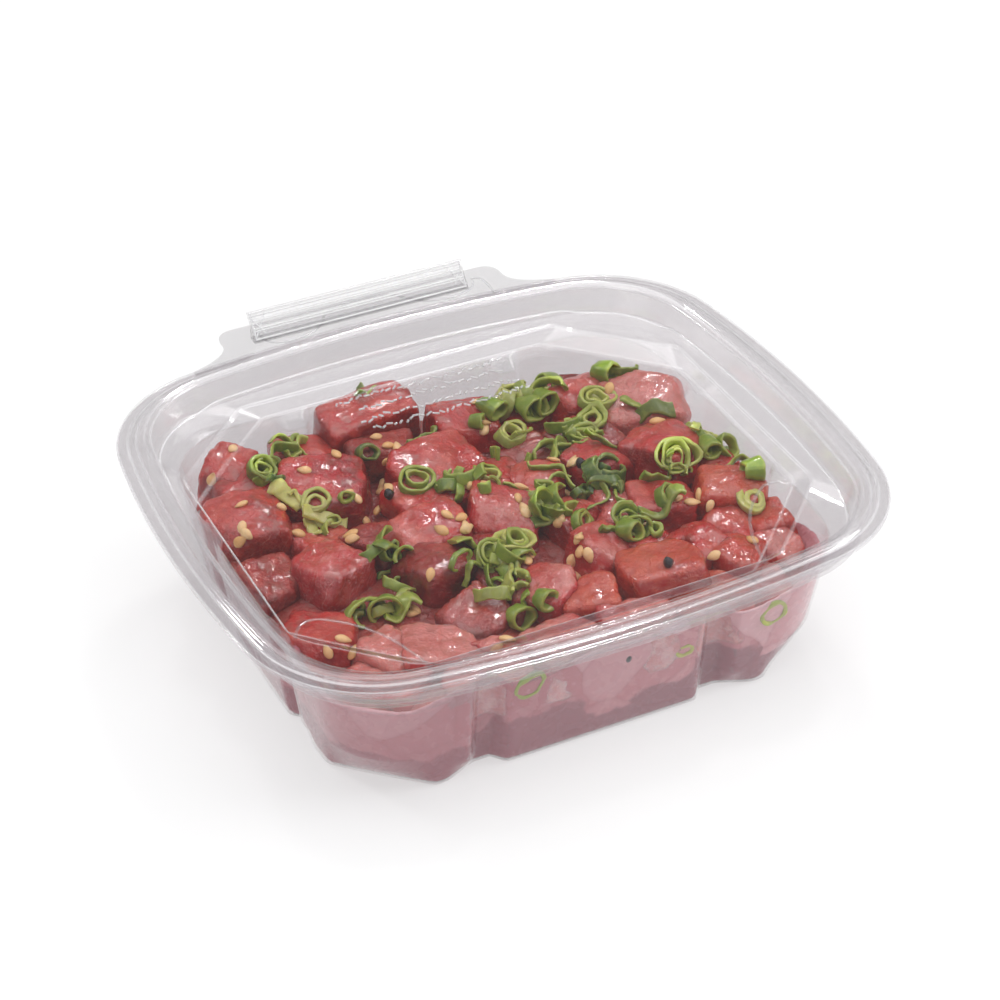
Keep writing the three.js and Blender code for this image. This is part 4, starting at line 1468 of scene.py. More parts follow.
# %% [markdown]
# ## Where the slices lie
#
# Scattering would spread the slices evenly, and in the real bowl they lie in groups with bare
# fish between them. So they are listed one by one. Each row below is one slice: its path, its place
# on the heap, its size across, how oval it is, its height and thickness, its tint from pale (0)
# to dark green (1), its two tilts and its turn in degrees, and how far it is lifted off the food.

# %% Slices on the heap
SLICES = [
    # left side: a dark lump with strings, and a frayed pale strip
    ("arc", -50, 43, 8.5, 0.8, 3.6, 0.9, 0.80, 50, 10, 20, 1.5),
    ("ring", -51, 41, 7.0, 0.9, 4.0, 0.8, 0.75, 15, -20, 80, 1.0),
    ("wave", -44, 47, 13, 0.4, 2.2, 0.7, 0.65, 30, 0, 15, 1.6),
    ("wave", -39, 50, 12, 0.5, 1.8, 0.7, 0.60, 50, 10, -10, 1.8),
    ("arc", -36, 51, 7.0, 0.7, 1.8, 0.7, 0.35, 20, 0, 60, 1.0),
    ("wave", -49, 35, 8.0, 0.3, 1.6, 0.9, 0.95, 20, 60, 70, 0.8),
    ("ring", -21, 39, 5.0, 0.8, 3.0, 0.8, 0.95, 20, 10, 0, 0.3),
    ("arc", -9, 63, 6.5, 0.8, 3.0, 0.8, 0.60, 60, 0, 30, 0.5),
    ("wave", -12, 63, 6.0, 0.5, 2.2, 0.8, 0.90, 60, 20, 60, 0.4),
    ("wave", -49, 28, 11, 0.2, 3.6, 0.7, 0.00, 80, 0, -60, 0.4),
    ("wave", -42, 19, 13, 0.25, 3.2, 0.8, 0.02, 75, 10, -28, 0.6),
    ("ring", -43, 23, 8.0, 0.75, 1.6, 0.9, 0.25, 5, 5, 10, 0.5),
    ("arc", -44, 20, 6.0, 0.7, 1.6, 0.8, 0.20, 20, 5, 120, 0.9),
    ("ring", -35, 21, 3.4, 0.8, 1.8, 0.8, 0.50, 40, 0, 0, 0.4),
    ("wave", -46, 18, 6.0, 0.3, 1.8, 0.8, 0.10, 60, 0, -70, 0.2),
    # front left: curls, and the band seen through the corner of the lid
    ("arc", -34, -1, 8.0, 0.7, 3.0, 0.7, 0.60, 35, 10, 60, 1.6),
    ("arc", -33, -4, 8.5, 0.9, 3.2, 0.8, 0.75, 60, 0, 10, 1.4),
    ("arc", -37, -3, 7.0, 0.8, 2.6, 0.8, 0.70, 40, 30, 200, 1.0),
    ("arc", -31, -6, 6.0, 0.8, 3.4, 0.8, 0.60, 70, 0, 0, 1.0),
    ("arc", -36, -14, 9.0, 0.8, 2.0, 0.8, 0.35, 40, -20, 140, 1.6),
    ("arc", -34, -17, 6.0, 0.9, 1.8, 0.7, 0.30, 60, 10, 20, 1.2),
    ("arc", -48, -18, 10, 0.7, 3.6, 0.9, 0.42, 55, 0, 10, 1.8),
    ("ring", -42, -20, 7.0, 0.8, 4.0, 0.8, 0.50, 75, 0, -20, 1.6),
    ("wave", -38, -22, 10, 0.4, 3.4, 0.8, 0.48, 50, 0, 0, 1.8),
    # the middle: a double ring, two loops and a stack
    ("ring", -15, 19, 10.5, 0.85, 1.8, 0.8, 0.55, 5, 0, 20, 0.3),
    ("arc", -3, 15, 9.0, 0.75, 3.0, 0.8, 0.52, 25, 10, 160, 0.8),
    ("arc", 3, 15, 9.0, 0.8, 2.6, 0.8, 0.55, 30, 20, 40, 0.8),
    ("ring", 4, 13, 6.0, 0.7, 1.8, 0.9, 0.25, 5, 10, 20, 0.4),
    ("wave", -8, 16, 7.0, 0.4, 1.6, 0.6, 0.60, 30, 0, 20, 0.4),
    ("ring", 18, 42, 5.6, 0.7, 6.5, 0.8, 0.62, 70, 0, 25, 1.6),
    ("wave", -4, 40, 10, 0.3, 3.4, 0.9, 0.85, 70, 0, 25, 0.2),
    ("ring", 12, 38, 3.4, 0.8, 3.4, 0.8, 0.60, 60, 0, 50, 0.4),
    ("ring", 20, 32, 9.0, 0.75, 2.2, 1.0, 0.30, 15, 10, 30, 0.4),
    ("wave", 22, 31, 9.0, 0.4, 3.0, 0.9, 0.35, 50, 0, 60, 0.8),
    # the pale mass and tubes at the back
    ("arc", 26, 49, 9.0, 0.8, 3.6, 0.8, 0.15, 40, 10, 20, 2.2),
    ("arc", 29, 52, 8.0, 0.8, 3.0, 0.8, 0.20, 60, -10, 100, 2.6),
    ("ring", 24, 46, 8.0, 0.8, 3.2, 0.7, 0.22, 30, 20, 200, 2.0),
    ("wave", 32, 48, 11, 0.4, 3.4, 0.8, 0.30, 40, 0, 30, 2.4),
    ("ring", 30, 41, 7.0, 0.75, 6.0, 0.8, 0.45, 70, 0, 15, 2.0),
    ("ring", 34, 41, 6.0, 0.8, 5.6, 0.8, 0.50, 70, 0, 10, 2.2),
    ("ring", 40, 49, 5.6, 0.85, 7.0, 0.8, 0.58, 80, 0, -60, 2.6),
    ("arc", 37, 44, 9.0, 0.8, 2.6, 0.8, 0.40, 30, 10, -40, 1.6),
    ("arc", 32, 46, 8.0, 0.9, 2.4, 0.8, 0.35, 50, 0, 100, 2.6),
    # rings on the right of the middle
    ("arc", 33, 26, 9.0, 0.8, 2.6, 0.8, 0.65, 30, 0, 170, 0.9),
    ("ring", 37, 22, 7.5, 0.8, 1.8, 0.8, 0.50, 10, 10, 0, 0.9),
    ("ring", 42, 26, 7.2, 0.95, 1.8, 1.1, 0.40, 10, -15, 0, 1.2),
    ("ring", 47, 33, 11.5, 0.7, 1.8, 0.9, 0.32, 10, 10, 15, 0.9),
    ("ring", 46, 32, 7.0, 0.7, 1.4, 0.7, 0.30, 15, 10, 100, 0.9),
    ("arc", 25, 22, 9.0, 0.8, 3.0, 0.8, 0.50, 40, 0, 20, 1.0),
    ("wave", 26, 17, 10, 0.3, 3.0, 0.8, 0.55, 55, 0, 20, 1.0),
    ("ring", 28, 19, 7.0, 0.8, 2.6, 0.8, 0.50, 60, 20, 60, 1.2),
    ("wave", 14, 4, 19, 0.25, 0.9, 0.6, 0.42, 20, 0, -14, 1.0),
    ("wave", 20, 7, 15, 0.25, 0.9, 0.6, 0.45, 20, 0, -62, 1.2),
    ("wave", 40, 13, 16, 0.35, 1.2, 0.8, 0.72, 30, 0, 10, 0.8),
    ("wave", 36, 17, 9.0, 0.5, 1.0, 0.7, 0.65, 30, 0, -20, 0.8),
    # dark bundle, loops and tubes in front of it
    ("arc", 32, 3, 11, 0.85, 3.8, 0.8, 0.92, 35, 10, 30, 1.5),
    ("arc", 29, 0, 9.0, 0.8, 3.4, 0.8, 0.88, 60, 10, 80, 1.4),
    ("arc", 35, -1, 10, 0.8, 3.2, 0.8, 0.95, 45, -20, 200, 1.4),
    ("arc", 30, -3, 8.0, 0.9, 3.0, 0.7, 0.80, 65, 0, 140, 1.6),
    ("wave", 27, -7, 12, 0.5, 1.0, 0.6, 0.75, 30, 0, 40, 1.4),
    ("wave", 31, -9, 11, 0.5, 1.0, 0.6, 0.70, 30, 10, 100, 1.2),
    ("arc", 16, -2, 8.0, 0.8, 3.2, 0.8, 0.55, 60, 0, 60, 1.6),
    ("ring", 10, -6, 9.0, 0.8, 2.6, 0.7, 0.68, 45, 10, 30, 1.4),
    ("ring", 12, -8, 6.5, 0.8, 2.0, 0.7, 0.60, 50, 20, 100, 1.2),
    ("ring", 18, -14, 8.5, 0.75, 1.6, 0.8, 0.45, 20, 10, 30, 0.7),
    ("ring", 29, -18, 7.5, 0.8, 2.0, 0.8, 0.60, 35, 0, 0, 0.9),
    ("wave", 39, -20, 13, 0.35, 3.2, 0.9, 0.80, 55, 0, -10, 0.8),
    ("arc", 41, -17, 8.0, 0.7, 2.4, 0.8, 0.70, 40, 0, 40, 0.8),
    ("ring", 26, -26, 6.0, 0.8, 4.2, 0.8, 0.55, 75, 0, 20, 1.2),
    ("ring", 30, -24, 5.6, 0.8, 4.4, 0.8, 0.52, 75, 0, -30, 1.2),
    ("wave", 22, -24, 9.0, 0.3, 1.6, 0.8, 0.75, 30, 0, 20, 0.6),
    # back right: a tube on the top edge and a dark strip
    ("ring", 55, 43, 6.4, 0.8, 5.4, 0.9, 0.60, 75, 0, 20, 1.0),
    ("wave", 60, 41, 8.0, 0.4, 2.0, 0.8, 0.75, 40, 0, 0, 0.8),
    ("wave", 58, 21, 13, 0.25, 2.8, 0.9, 0.95, 70, 0, -18, 0.2),
    ("wave", 55, 25, 9.0, 0.4, 1.4, 0.7, 0.70, 40, 0, -40, 0.4),
    ("ring", 52, -4, 12, 0.7, 2.0, 0.8, 0.36, 15, 0, -10, 0.3),
    ("ring", 51, -5, 9.0, 0.7, 1.8, 0.7, 0.42, 10, 0, 60, 0.2),
    ("wave", 44, -8, 10, 0.3, 2.2, 0.8, 0.70, 50, 0, 20, 0.8),
    # right cluster by the wall
    ("ring", 66, 8, 9.0, 0.8, 2.4, 0.6, 0.30, 25, 0, 10, 1.0),
    ("arc", 68, 7, 8.0, 0.8, 2.0, 0.6, 0.38, 50, 10, 120, 1.2),
    ("arc", 64, 6, 8.0, 0.8, 1.6, 0.6, 0.25, 60, 0, 40, 1.4),
    ("ring", 69, -2, 7.0, 0.85, 2.0, 0.8, 0.52, 40, 0, 10, 1.2),
    ("ring", 64, -1, 5.4, 0.8, 5.4, 0.8, 0.52, 80, 0, 0, 1.4),
    ("wave", 67, -10, 11, 0.25, 3.4, 0.8, 0.50, 65, 0, -25, 0.9),
    ("ring", 67, -19, 6.0, 0.7, 4.6, 0.8, 0.50, 75, 0, 80, 1.0),
    ("ring", 62, -27, 8.0, 0.75, 1.2, 1.4, 0.18, 10, 30, 80, 0.3),
    # in front: a flat leaf, a yellow ring, loops and a pale strip
    ("wave", -14, -11, 8.5, 0.15, 9.0, 0.9, 0.52, 72, 0, -20, 0.6),
    ("ring", -3, -16, 10, 0.85, 1.8, 1.1, 0.15, 15, 0, 10, 0.6),
    ("ring", -3, -17, 5.6, 0.8, 2.4, 0.9, 0.60, 20, 0, 60, 0.8),
    ("ring", -11, -18, 7.5, 0.8, 2.0, 0.8, 0.50, 30, 0, 30, 0.9),
    ("ring", -7, -21, 8.0, 0.8, 2.6, 0.8, 0.52, 50, 10, 100, 1.0),
    ("arc", -4, -22, 7.0, 0.8, 2.4, 0.8, 0.60, 60, 0, 10, 1.0),
    ("ring", -20, -19, 7.0, 0.7, 1.0, 0.6, 0.62, 60, 10, 20, 1.2),
    ("ring", -14, -24, 6.6, 0.65, 1.0, 0.6, 0.66, 70, 0, 70, 1.2),
    ("wave", -17, -21, 9.0, 0.6, 1.0, 0.6, 0.68, 50, 0, 30, 1.2),
    ("wave", 11, -9, 10, 0.25, 2.2, 0.9, 0.92, 60, 0, 10, 1.2),
    ("wave", -11, -28, 12, 0.2, 4.4, 0.9, 0.28, 65, 0, 75, 1.2),
    ("arc", -17, -33, 9.0, 0.7, 2.6, 0.8, 0.30, 50, 0, 160, 1.0),
    ("ring", -13, -40, 6.6, 0.85, 3.4, 0.9, 0.45, 50, 0, 0, 0.9),
    ("ring", -7, -41, 5.0, 0.8, 3.8, 0.9, 0.62, 80, 0, 30, 1.0),
]
print("slices on the heap:", len(SLICES))

# %% [markdown]
# A few rings are trapped between the flesh and the near wall: x, height, size, thickness of
# the cut, tint and turn. Small torn bits lie in groups: middle, count, spread and tint.

# %% Trapped rings and torn bits
WALL_SLICES = [
    (-22, 25.5, 8.0, 0.8, 0.50, 20),
    (48, 24.0, 7.5, 0.8, 0.32, 60),
    (22, 20.5, 4.0, 0.8, 0.2, 0),
]
BITS = [
    (-49, 42, 4, 3.0, 0.7), (-38, 50, 4, 3.0, 0.6), (-44, 21, 3, 3.0, 0.15), (-34, -4, 5, 3.0, 0.7),
    (-42, -20, 5, 4.0, 0.45), (0, 15, 4, 3.0, 0.55), (28, 49, 7, 3.5, 0.22), (33, 42, 4, 3.0, 0.5),
    (36, 24, 5, 3.5, 0.5), (26, 19, 5, 3.0, 0.5), (31, 0, 8, 3.5, 0.9), (13, -4, 6, 3.0, 0.6),
    (28, -20, 5, 3.0, 0.6), (67, 3, 6, 3.0, 0.4), (52, -5, 3, 3.0, 0.45), (-7, -19, 8, 3.5, 0.5),
    (-12, -30, 4, 3.0, 0.3), (45, 29, 3, 3.0, 0.35), (8, 8, 4, 6.0, 0.5), (-16, -22, 4, 3.5, 0.6),
]
print("torn bits:", sum(count for _, _, count, _, _ in BITS))

# %% [markdown]
# All paths go into one mesh of edges, and every point carries the numbers of its slice. One
# node group then sweeps them all at once, which is much faster than one object each.

# %% Paths of the slices
path_points, path_edges = [], []
marks = {"place": [], "lay": [], "high": [], "thick": [], "flare": [], "tint": []}


def add_strip(path, closed, place, lay, high, thick, flare, tint):
    """Adds one path, whose points all carry where and how its strip is to be swept."""
    first = len(path_points)
    count = len(path)
    path_points.extend((px, py, 0.0) for px, py in path)
    path_edges.extend((first + i, first + i + 1) for i in range(count - 1))
    if closed:
        path_edges.append((first + count - 1, first))
    values = {
        "place": tuple(v * MM for v in place),
        "lay": tuple(lay),
        "high": (high * 1.05 + 0.5) * MM,
        "thick": thick * 1.3 * MM,
        "flare": flare * MM,
        "tint": tint,
    }
    for label, value in values.items():
        marks[label].extend([value] * count)


def lying(up, turn, tip, roll):
    """The turn of something that is tipped, turned, and then laid on a slope."""
    tipped = Euler((tip, roll, 0)).to_matrix()
    spun = Euler((0, 0, turn)).to_matrix()
    tilted = UP.rotation_difference(up).to_matrix()
    return (tilted @ spun @ tipped).to_euler("XYZ")


for i, (kind, x, y, size, oval, high, thick, tint, tip, roll, turn, lift) in enumerate(SLICES):
    rng = np.random.default_rng(500 + i)
    path, closed = PATHS[kind](size, rng, oval)
    top, up = ground(x, y, min(3.0, size * 0.3))
    lay = lying(up, math.radians(turn), math.radians(tip), math.radians(roll))
    steep = abs(math.sin(math.radians(tip)))
    half = 0.5 * high * abs(math.cos(math.radians(tip))) + 0.5 * size * oval * steep * 0.6
    z = top + half * 0.8 + lift * 0.5 - 0.3
    z = min(z, CEILING - 0.3 - half * 0.7)
    flare = rng.uniform(-0.5, 0.9) * min(high, 2)
    add_strip(path, closed, (x, y, z), lay, high, thick, flare, tint)

    has_inner_leaf = kind == "ring" and size > 6.5 and tip < 40
    if has_inner_leaf:
        inner_size = size * rng.uniform(0.5, 0.64)
        path, closed = ring_path(inner_size, rng, min(1.0, oval * 1.15))
        path = path + rng.uniform(-0.08, 0.08, 2) * size
        add_strip(path, closed, (x, y, z + 0.1), lay, high * 1.05, thick * 0.85, 0.0, tint * 0.75)
print("points after the slices:", len(path_points))

# %% [markdown]
# The torn bits take everything from seeded draws, and the trapped rings lean with the wall.

# %% Paths of bits and trapped rings
bit_rng = np.random.default_rng(61)
for x, y, count, spread, tint in BITS:
    for _ in range(count):
        bx, by = x + bit_rng.normal(0, spread), y + bit_rng.normal(0, spread)
        kind = ("arc", "wave", "ring", "arc")[int(bit_rng.integers(4))]
        size = bit_rng.uniform(2.4, 5.0)
        path, closed = PATHS[kind](size, bit_rng, bit_rng.uniform(0.45, 0.9))
        top, up = ground(bx, by, 1.2)
        high = bit_rng.uniform(1.0, 3.0)
        tip, roll = bit_rng.uniform(0, 1.4), bit_rng.uniform(-0.4, 0.4)
        lay = lying(up, bit_rng.uniform(0, math.tau), tip, roll)
        shade = float(np.clip(tint + bit_rng.normal(0, 0.15), 0, 1))
        z = min(top + 0.4 * high + 0.2, CEILING - 0.8)
        add_strip(path, closed, (bx, by, z), lay, high, bit_rng.uniform(0.6, 1.0), 0.3, shade)


def near_wall(z, depth):
    """The y of a place that lies this deep inside the near wall's outer face at height z."""
    return -(BASE_Y + DRAFT * z - depth)


WALL_LEAN = 7.5                      # degrees that the near wall leans outwards
flat_on_wall = Euler((math.radians(90 + WALL_LEAN), 0, 0)).to_matrix()
for i, (x, z, size, high, tint, turn) in enumerate(WALL_SLICES):
    path, closed = ring_path(size, np.random.default_rng(900 + i), 0.8)
    lay = (flat_on_wall @ Euler((0, 0, math.radians(turn))).to_matrix()).to_euler("XYZ")
    add_strip(path, closed, (x, near_wall(z, 0.95), z), lay, high, 0.9, 0.0, tint)
print("points of all paths:", len(path_points))

# %% [markdown]
# Now the mesh of paths gets its numbers as attributes, and the sweep turns it into leaves.

# %% Sweep them all
strips = thread("strips", path_points, path_edges)
for label, values in marks.items():
    carry(strips.data, label, values)
run_group(strips, sweep, {"Material": LEAF})
scallion = evaluated(strips, "sliced_scallion")
outward(scallion.data)
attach(scallion, "root")
print("scallion:", len(SLICES) + len(WALL_SLICES), "slices,", triangles(scallion), "triangles")

# %% [markdown]
# ## Sesame and black seeds
#
# Seeds lie flat on the dices in loose groups. Each row is the middle of a group, how many seeds
# it has and how far they spread.

# %% Seed groups
GROUPS = [
    (-54, 55, 1, 0), (-63, 48, 1, 0), (-62, 28, 1, 0), (-30, 39, 1, 0), (-41, 35, 1, 0),
    (-33, 21, 2, 2), (-14, 41, 3, 4), (-19, 32, 4, 4), (-23, 20, 1, 0), (-30, 18, 3, 4),
    (-38, 8, 2, 2), (-51, 16, 1, 0), (-65, 17, 3, 3), (-29, -20, 1, 0), (-10, -1, 4, 4),
    (5, -5, 2, 2), (-18, -3, 1, 0), (-10, -15, 1, 0), (-3, -22, 2, 3), (13, -11, 3, 3),
    (12, -25, 6, 4), (-24, -46, 2, 4), (-36, -21, 2, 2), (52, 35, 1, 0), (56, 14, 1, 0),
    (27, 9, 4, 4), (44, -20, 3, 3), (49, -22, 3, 3), (35, -24, 2, 3), (41, -44, 1, 0),
    (53, -43, 1, 0), (-61, -30, 2, 4), (-3, 12, 3, 4), (14, 36, 2, 3), (24, 36, 1, 0),
    (6, 3, 2, 4), (60, -8, 1, 0), (33, -4, 2, 3), (-52, 24, 1, 0), (-57, -34, 1, 0), (17, 44, 3, 3),
]
seed_rng = np.random.default_rng(41)
seed_places = []
for x, y, count, spread in GROUPS:
    for _ in range(count):
        seed_x = x + seed_rng.normal(0, spread * 0.6)
        seed_places.append((seed_x, y + seed_rng.normal(0, spread * 0.6)))
print("sesame seeds:", len(seed_places))

# %% [markdown]
# A sesame seed is a flat drop: blunt at one end, pointed at the other. Modelling one and
# copying it is the classic use of Instance on Points. The group shapes a ball into a drop and
# sets a copy on every point, turned and scaled by the numbers of that point. The copies are
# realized, so that the result is one plain mesh.

# %% Seed nodes
scatter, tree, given = group_tree("set_seeds", {"Material": "NodeSocketMaterial"})
ball = tree.node("GeometryNodeMeshUVSphere", {"Segments": 20, "Rings": 12, "Radius": 1.0})
at = tree.node("GeometryNodeInputPosition")
ball_x = tree.part(at, "X")
ball_y = tree.part(at, "Y")
ball_z = tree.part(at, "Z")
ball = tree.stored(ball, "along", ball_x * 0.5 + 0.5)
taper = 1.0 - 0.42 * ball_x.ramp(-0.3, 1.1)
drop_form = tree.node(
    "ShaderNodeCombineXYZ",
    {"X": ball_x * 1.7 * MM, "Y": ball_y * taper * 1.12 * MM, "Z": ball_z * taper * 0.66 * MM},
)
ball = tree.node("GeometryNodeSetPosition", {"Geometry": ball, "Position": drop_form})
ball = tree.node("GeometryNodeSetShadeSmooth", {"Geometry": ball})
copies = {
    "Points": given["Geometry"],
    "Instance": ball,
    "Rotation": tree.read("lay", "FLOAT_VECTOR"),
    "Scale": tree.read("scale", "FLOAT_VECTOR"),
}
set_down = tree.node("GeometryNodeInstanceOnPoints", copies)
close_group(tree, set_down, given["Material"])
print("nodes that set the seeds:", len(scatter.nodes))


# %% Sesame seeds
def set_seeds(name, places, sizes, lays, toasts, material):
    """A piece with one seed on every place."""
    points = thread(name + "_points", places)
    for label, values in (("lay", lays), ("scale", sizes), ("toast", toasts)):
        carry(points.data, label, values)
    run_group(points, scatter, {"Material": material})
    piece = evaluated(points, name)
    outward(piece.data)
    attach(piece, "root")
    return piece


places, sizes, lays, toasts = [], [], [], []
for x, y in seed_places:
    top, up = ground(x, y, 0.9)
    tilted = UP.rotation_difference(up).to_matrix()
    spun = Euler((seed_rng.normal(0, 0.25), seed_rng.normal(0, 0.2), seed_rng.uniform(0, math.tau)))
    places.append((x, y, min(top + 0.35, CEILING - 0.55)))
    lays.append(tuple((tilted @ spun.to_matrix()).to_euler("XYZ")))
    size = seed_rng.uniform(1.1, 1.4)
    sizes.append((size, size * seed_rng.uniform(0.9, 1.1), size * seed_rng.uniform(0.9, 1.2)))
    toasts.append(float(seed_rng.beta(1.3, 2.5)))
sesame = set_seeds("sesame_seeds", places, sizes, lays, toasts, SESAME)
print("sesame:", triangles(sesame), "triangles")

# %% [markdown]
# Four black seeds: three on the dices and one at the near wall. The scale turns the flat drop
# into a ball.

# %% Black seeds
BLACK_PLACES = ((-24, 17), (28, 6), (27, -45))
BLACK_ON_WALL = (6, 24)              # x and height
BALL = (0.86, 1.38, 2.6)
places = []
for x, y in BLACK_PLACES:
    top, up = ground(x, y, 1.0)
    places.append((x, y, min(top + 1.0, CEILING - 1.4)))
x, z = BLACK_ON_WALL
places.append((x, near_wall(z, 1.65), z))
count = len(places)
black = set_seeds(
    "black_seeds", places, [BALL] * count, [(0, 0, 0)] * count, [0.0] * count, BLACK_SEED
)
print("black seeds:", count, "with", triangles(black), "triangles")

# %% [markdown]
# ## The tear strip
#
# The tear strip is a thin folded web that stands on the tab and leans outward. It keeps the
# pack shut until somebody pulls it off. It has fine folds along its length and crimped ends.
# It is lofted from many equal sections along X. Each section runs up the front, down the back
# and under the foot, and a sine wave gives it the folds, which turn into the crimp near the
# ends.

# %% The folded web
STRIP_FOOT = RIM_TOP + GAP
STRIP_Y, STRIP_LEAN = 82.6, 5.0      # where its foot stands, and how far its top leans back
STRIP_FOOT_BACK = 86.0
STRIP_LIFT, STRIP_WEB = 0.6, STRIP_HIGH - 0.9
END_LONG, CRIMP_LONG = 3.5, 3.2
RISE_STEPS = 41


def strip_place(x, share, out=0.0):
    """A place on the leaning web: x along it, `share` of its height, `out` behind its front."""
    y = STRIP_Y + STRIP_LEAN * share + out
    return x + STRIP_SHIFT, y, STRIP_FOOT + STRIP_LIFT + STRIP_WEB * share


left_end = np.linspace(-STRIP_X, -STRIP_X + END_LONG, 10)[:-1]
middle = np.linspace(-STRIP_X + END_LONG, STRIP_X - END_LONG, 40)[:-1]
strip_x = np.concatenate([left_end, middle, np.linspace(STRIP_X - END_LONG, STRIP_X, 10)])
share = np.linspace(0, 1, RISE_STEPS)
sections = []
for x in strip_x:
    near_end = np.clip((abs(x) - (STRIP_X - CRIMP_LONG)) / CRIMP_LONG, 0, 1)
    crimp = 0.35 * near_end * math.sin(x * 5.5)
    fold = 0.16 * (1 - near_end) * np.sin(share * math.tau * 2.5)
    along, y, z = strip_place(np.full(RISE_STEPS, x), share)
    y = y + fold + crimp * share * (1 - share) * 4
    front = np.column_stack([along, y + 0.35, z])
    behind = np.column_stack([along, y + 1.0, z - 0.15])[::-1]
    foot = [(STRIP_FOOT_BACK, STRIP_FOOT + 0.5), (STRIP_FOOT_BACK, STRIP_FOOT), (STRIP_Y, STRIP_FOOT)]
    foot = [(x + STRIP_SHIFT, foot_y, foot_z) for foot_y, foot_z in foot]
    sections.append(np.concatenate([front, behind, foot]))
strip = mesh_piece("clear_strip", *loft(sections))
outward(strip.data)
strip.data.materials.append(CLEAR_STRIP)
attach(strip, "root")
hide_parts("tear_strip")
print("strip:", triangles(strip), "triangles")

# %% [markdown]
# ## Thin raised lines
#
# On a clear sheet a small rib is seen only as a bright or dull line. Ribs of half a millimetre
# are too fine for the sheet's own mesh. So this node group sweeps a flattened circle along any
# path laid on the sheet, which gives a bead that is sunk halfway into it.

# %% Raised-line nodes
bead_inputs = {"Width": "NodeSocketFloat", "Height": "NodeSocketFloat"}
bead_inputs["Material"] = "NodeSocketMaterial"
beads, tree, given = group_tree("raised_lines", bead_inputs)
line = tree.node("GeometryNodeMeshToCurve", {"Mesh": given["Geometry"]})
line = tree.node("GeometryNodeSetCurveNormal", {"Curve": line}, mode="Z_UP")
circle_of = {"Resolution": 10, "Radius": 1.0}
bead = tree.node("GeometryNodeCurvePrimitiveCircle", circle_of, mode="RADIUS")
half_width = given["Width"] * 0.5
flat = tree.node("ShaderNodeCombineXYZ", {"X": half_width, "Y": given["Height"], "Z": 1.0})
bead = tree.node("GeometryNodeTransform", {"Geometry": bead, "Scale": flat})
line = tree.node("GeometryNodeCurveToMesh", {"Curve": line, "Profile Curve": bead, "Fill Caps": True})
line = tree.node("GeometryNodeSetShadeSmooth", {"Geometry": line})
close_group(tree, line, given["Material"])


def raised_lines(name, paths, width, height, material):
    """Half-sunk beads along the given open paths."""
    points, edges = [], []
    for path in paths:
        first = len(points)
        points.extend(path)
        edges.extend((first + i, first + i + 1) for i in range(len(path) - 1))
    lines = thread(name + "_paths", points, edges)
    values = {"Width": width * MM, "Height": height * MM, "Material": material}
    run_group(lines, beads, values)
    piece = evaluated(lines, name)
    outward(piece.data)
    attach(piece, "root")
    return piece


print("nodes of a raised line:", len(beads.nodes))

# %% [markdown]
# ## The folds of the strip
#
# Five long folds, and a few short ones that cross at the crimped ends, are painted as highlights
# with a whiter milk. Three long folds are painted in shade with a greyer milk.


# %% Folds and shades
def strip_line(share, start=-STRIP_X + 0.6, end=STRIP_X - 0.6, end_share=None):
    """A straight line on the front of the tear strip, at a share of its height."""
    if end_share is None:
        end_share = share
    return [strip_place(start, share, 0.3), strip_place(end, end_share, 0.3)]


# Painted highlights: these folds take the whiter milk.
highlight_folds = [strip_line(share) for share in (0.05, 0.32, 0.4, 0.68, 0.96)]
for side in (-1, 1):
    x = side * (STRIP_X - 0.8)
    highlight_folds.append(strip_line(0.1, x, x - side * 4.5, 0.9))
    highlight_folds.append(strip_line(0.8, x, x - side * 3.0, 0.2))
    highlight_folds.append(strip_line(0.05, x, x + side * 0.1, 0.95))
folds = raised_lines("strip_folds", highlight_folds, 0.5, 0.2, FOLD_HIGHLIGHT)
# Painted shade: these folds take the greyer milk of the raised marks.
shaded_folds = [strip_line(share) for share in (0.18, 0.55, 0.84)]
shades = raised_lines("strip_shades", shaded_folds, 0.45, 0.15, RAISED)
print("folds:", len(highlight_folds), "bright and", len(shaded_folds), "dull")

# %% [markdown]
# ## Lines on the lid
#
# The corners of the sunk panel are stepped pockets with a rounded edge. On the tab runs a
# lobed line with two dips and a broad hump between them. `smooth_line` draws such a line
# through a few marks, as a Catmull-Rom curve does.


# %% Pocket lines
def corner_pocket(side_x):
    """The rounded edge of the pocket in one near corner of the panel."""
    start, middle, end = (-72, -34), (-62, -31), (-47, -60)
    quarter = [start, *bend(start, (-68, -26), middle), *bend(middle, (-50, -40), end)]
    return [(-side_x * x, y, PANEL_TOP) for x, y in quarter]


pockets = [corner_pocket(-1), corner_pocket(1)]
pocket_lines = raised_lines("pocket_lines", pockets, 0.9, 0.25, CLEAR_STRIP)
print("pocket lines:", triangles(pocket_lines), "triangles")


# %% Press lobes
def smooth_line(marks, steps=5):
    """A smooth line through a few marks."""
    marks = np.array(marks, float)
    ends = np.concatenate([marks[:1], marks, marks[-1:]])
    line = []
    for a, b, c, d in zip(ends, ends[1:], ends[2:], ends[3:]):
        for t in np.linspace(0, 1, steps, endpoint=False):
            cubic = 3 * (b - c) + d - a
            square = 2 * a - 5 * b + 4 * c - d
            line.append(b + 0.5 * t * (c - a + t * (square + t * cubic)))
    return np.array([*line, marks[-1]])


def tab_line(marks):
    return [(x, y, RIM_TOP) for x, y in smooth_line(marks)]


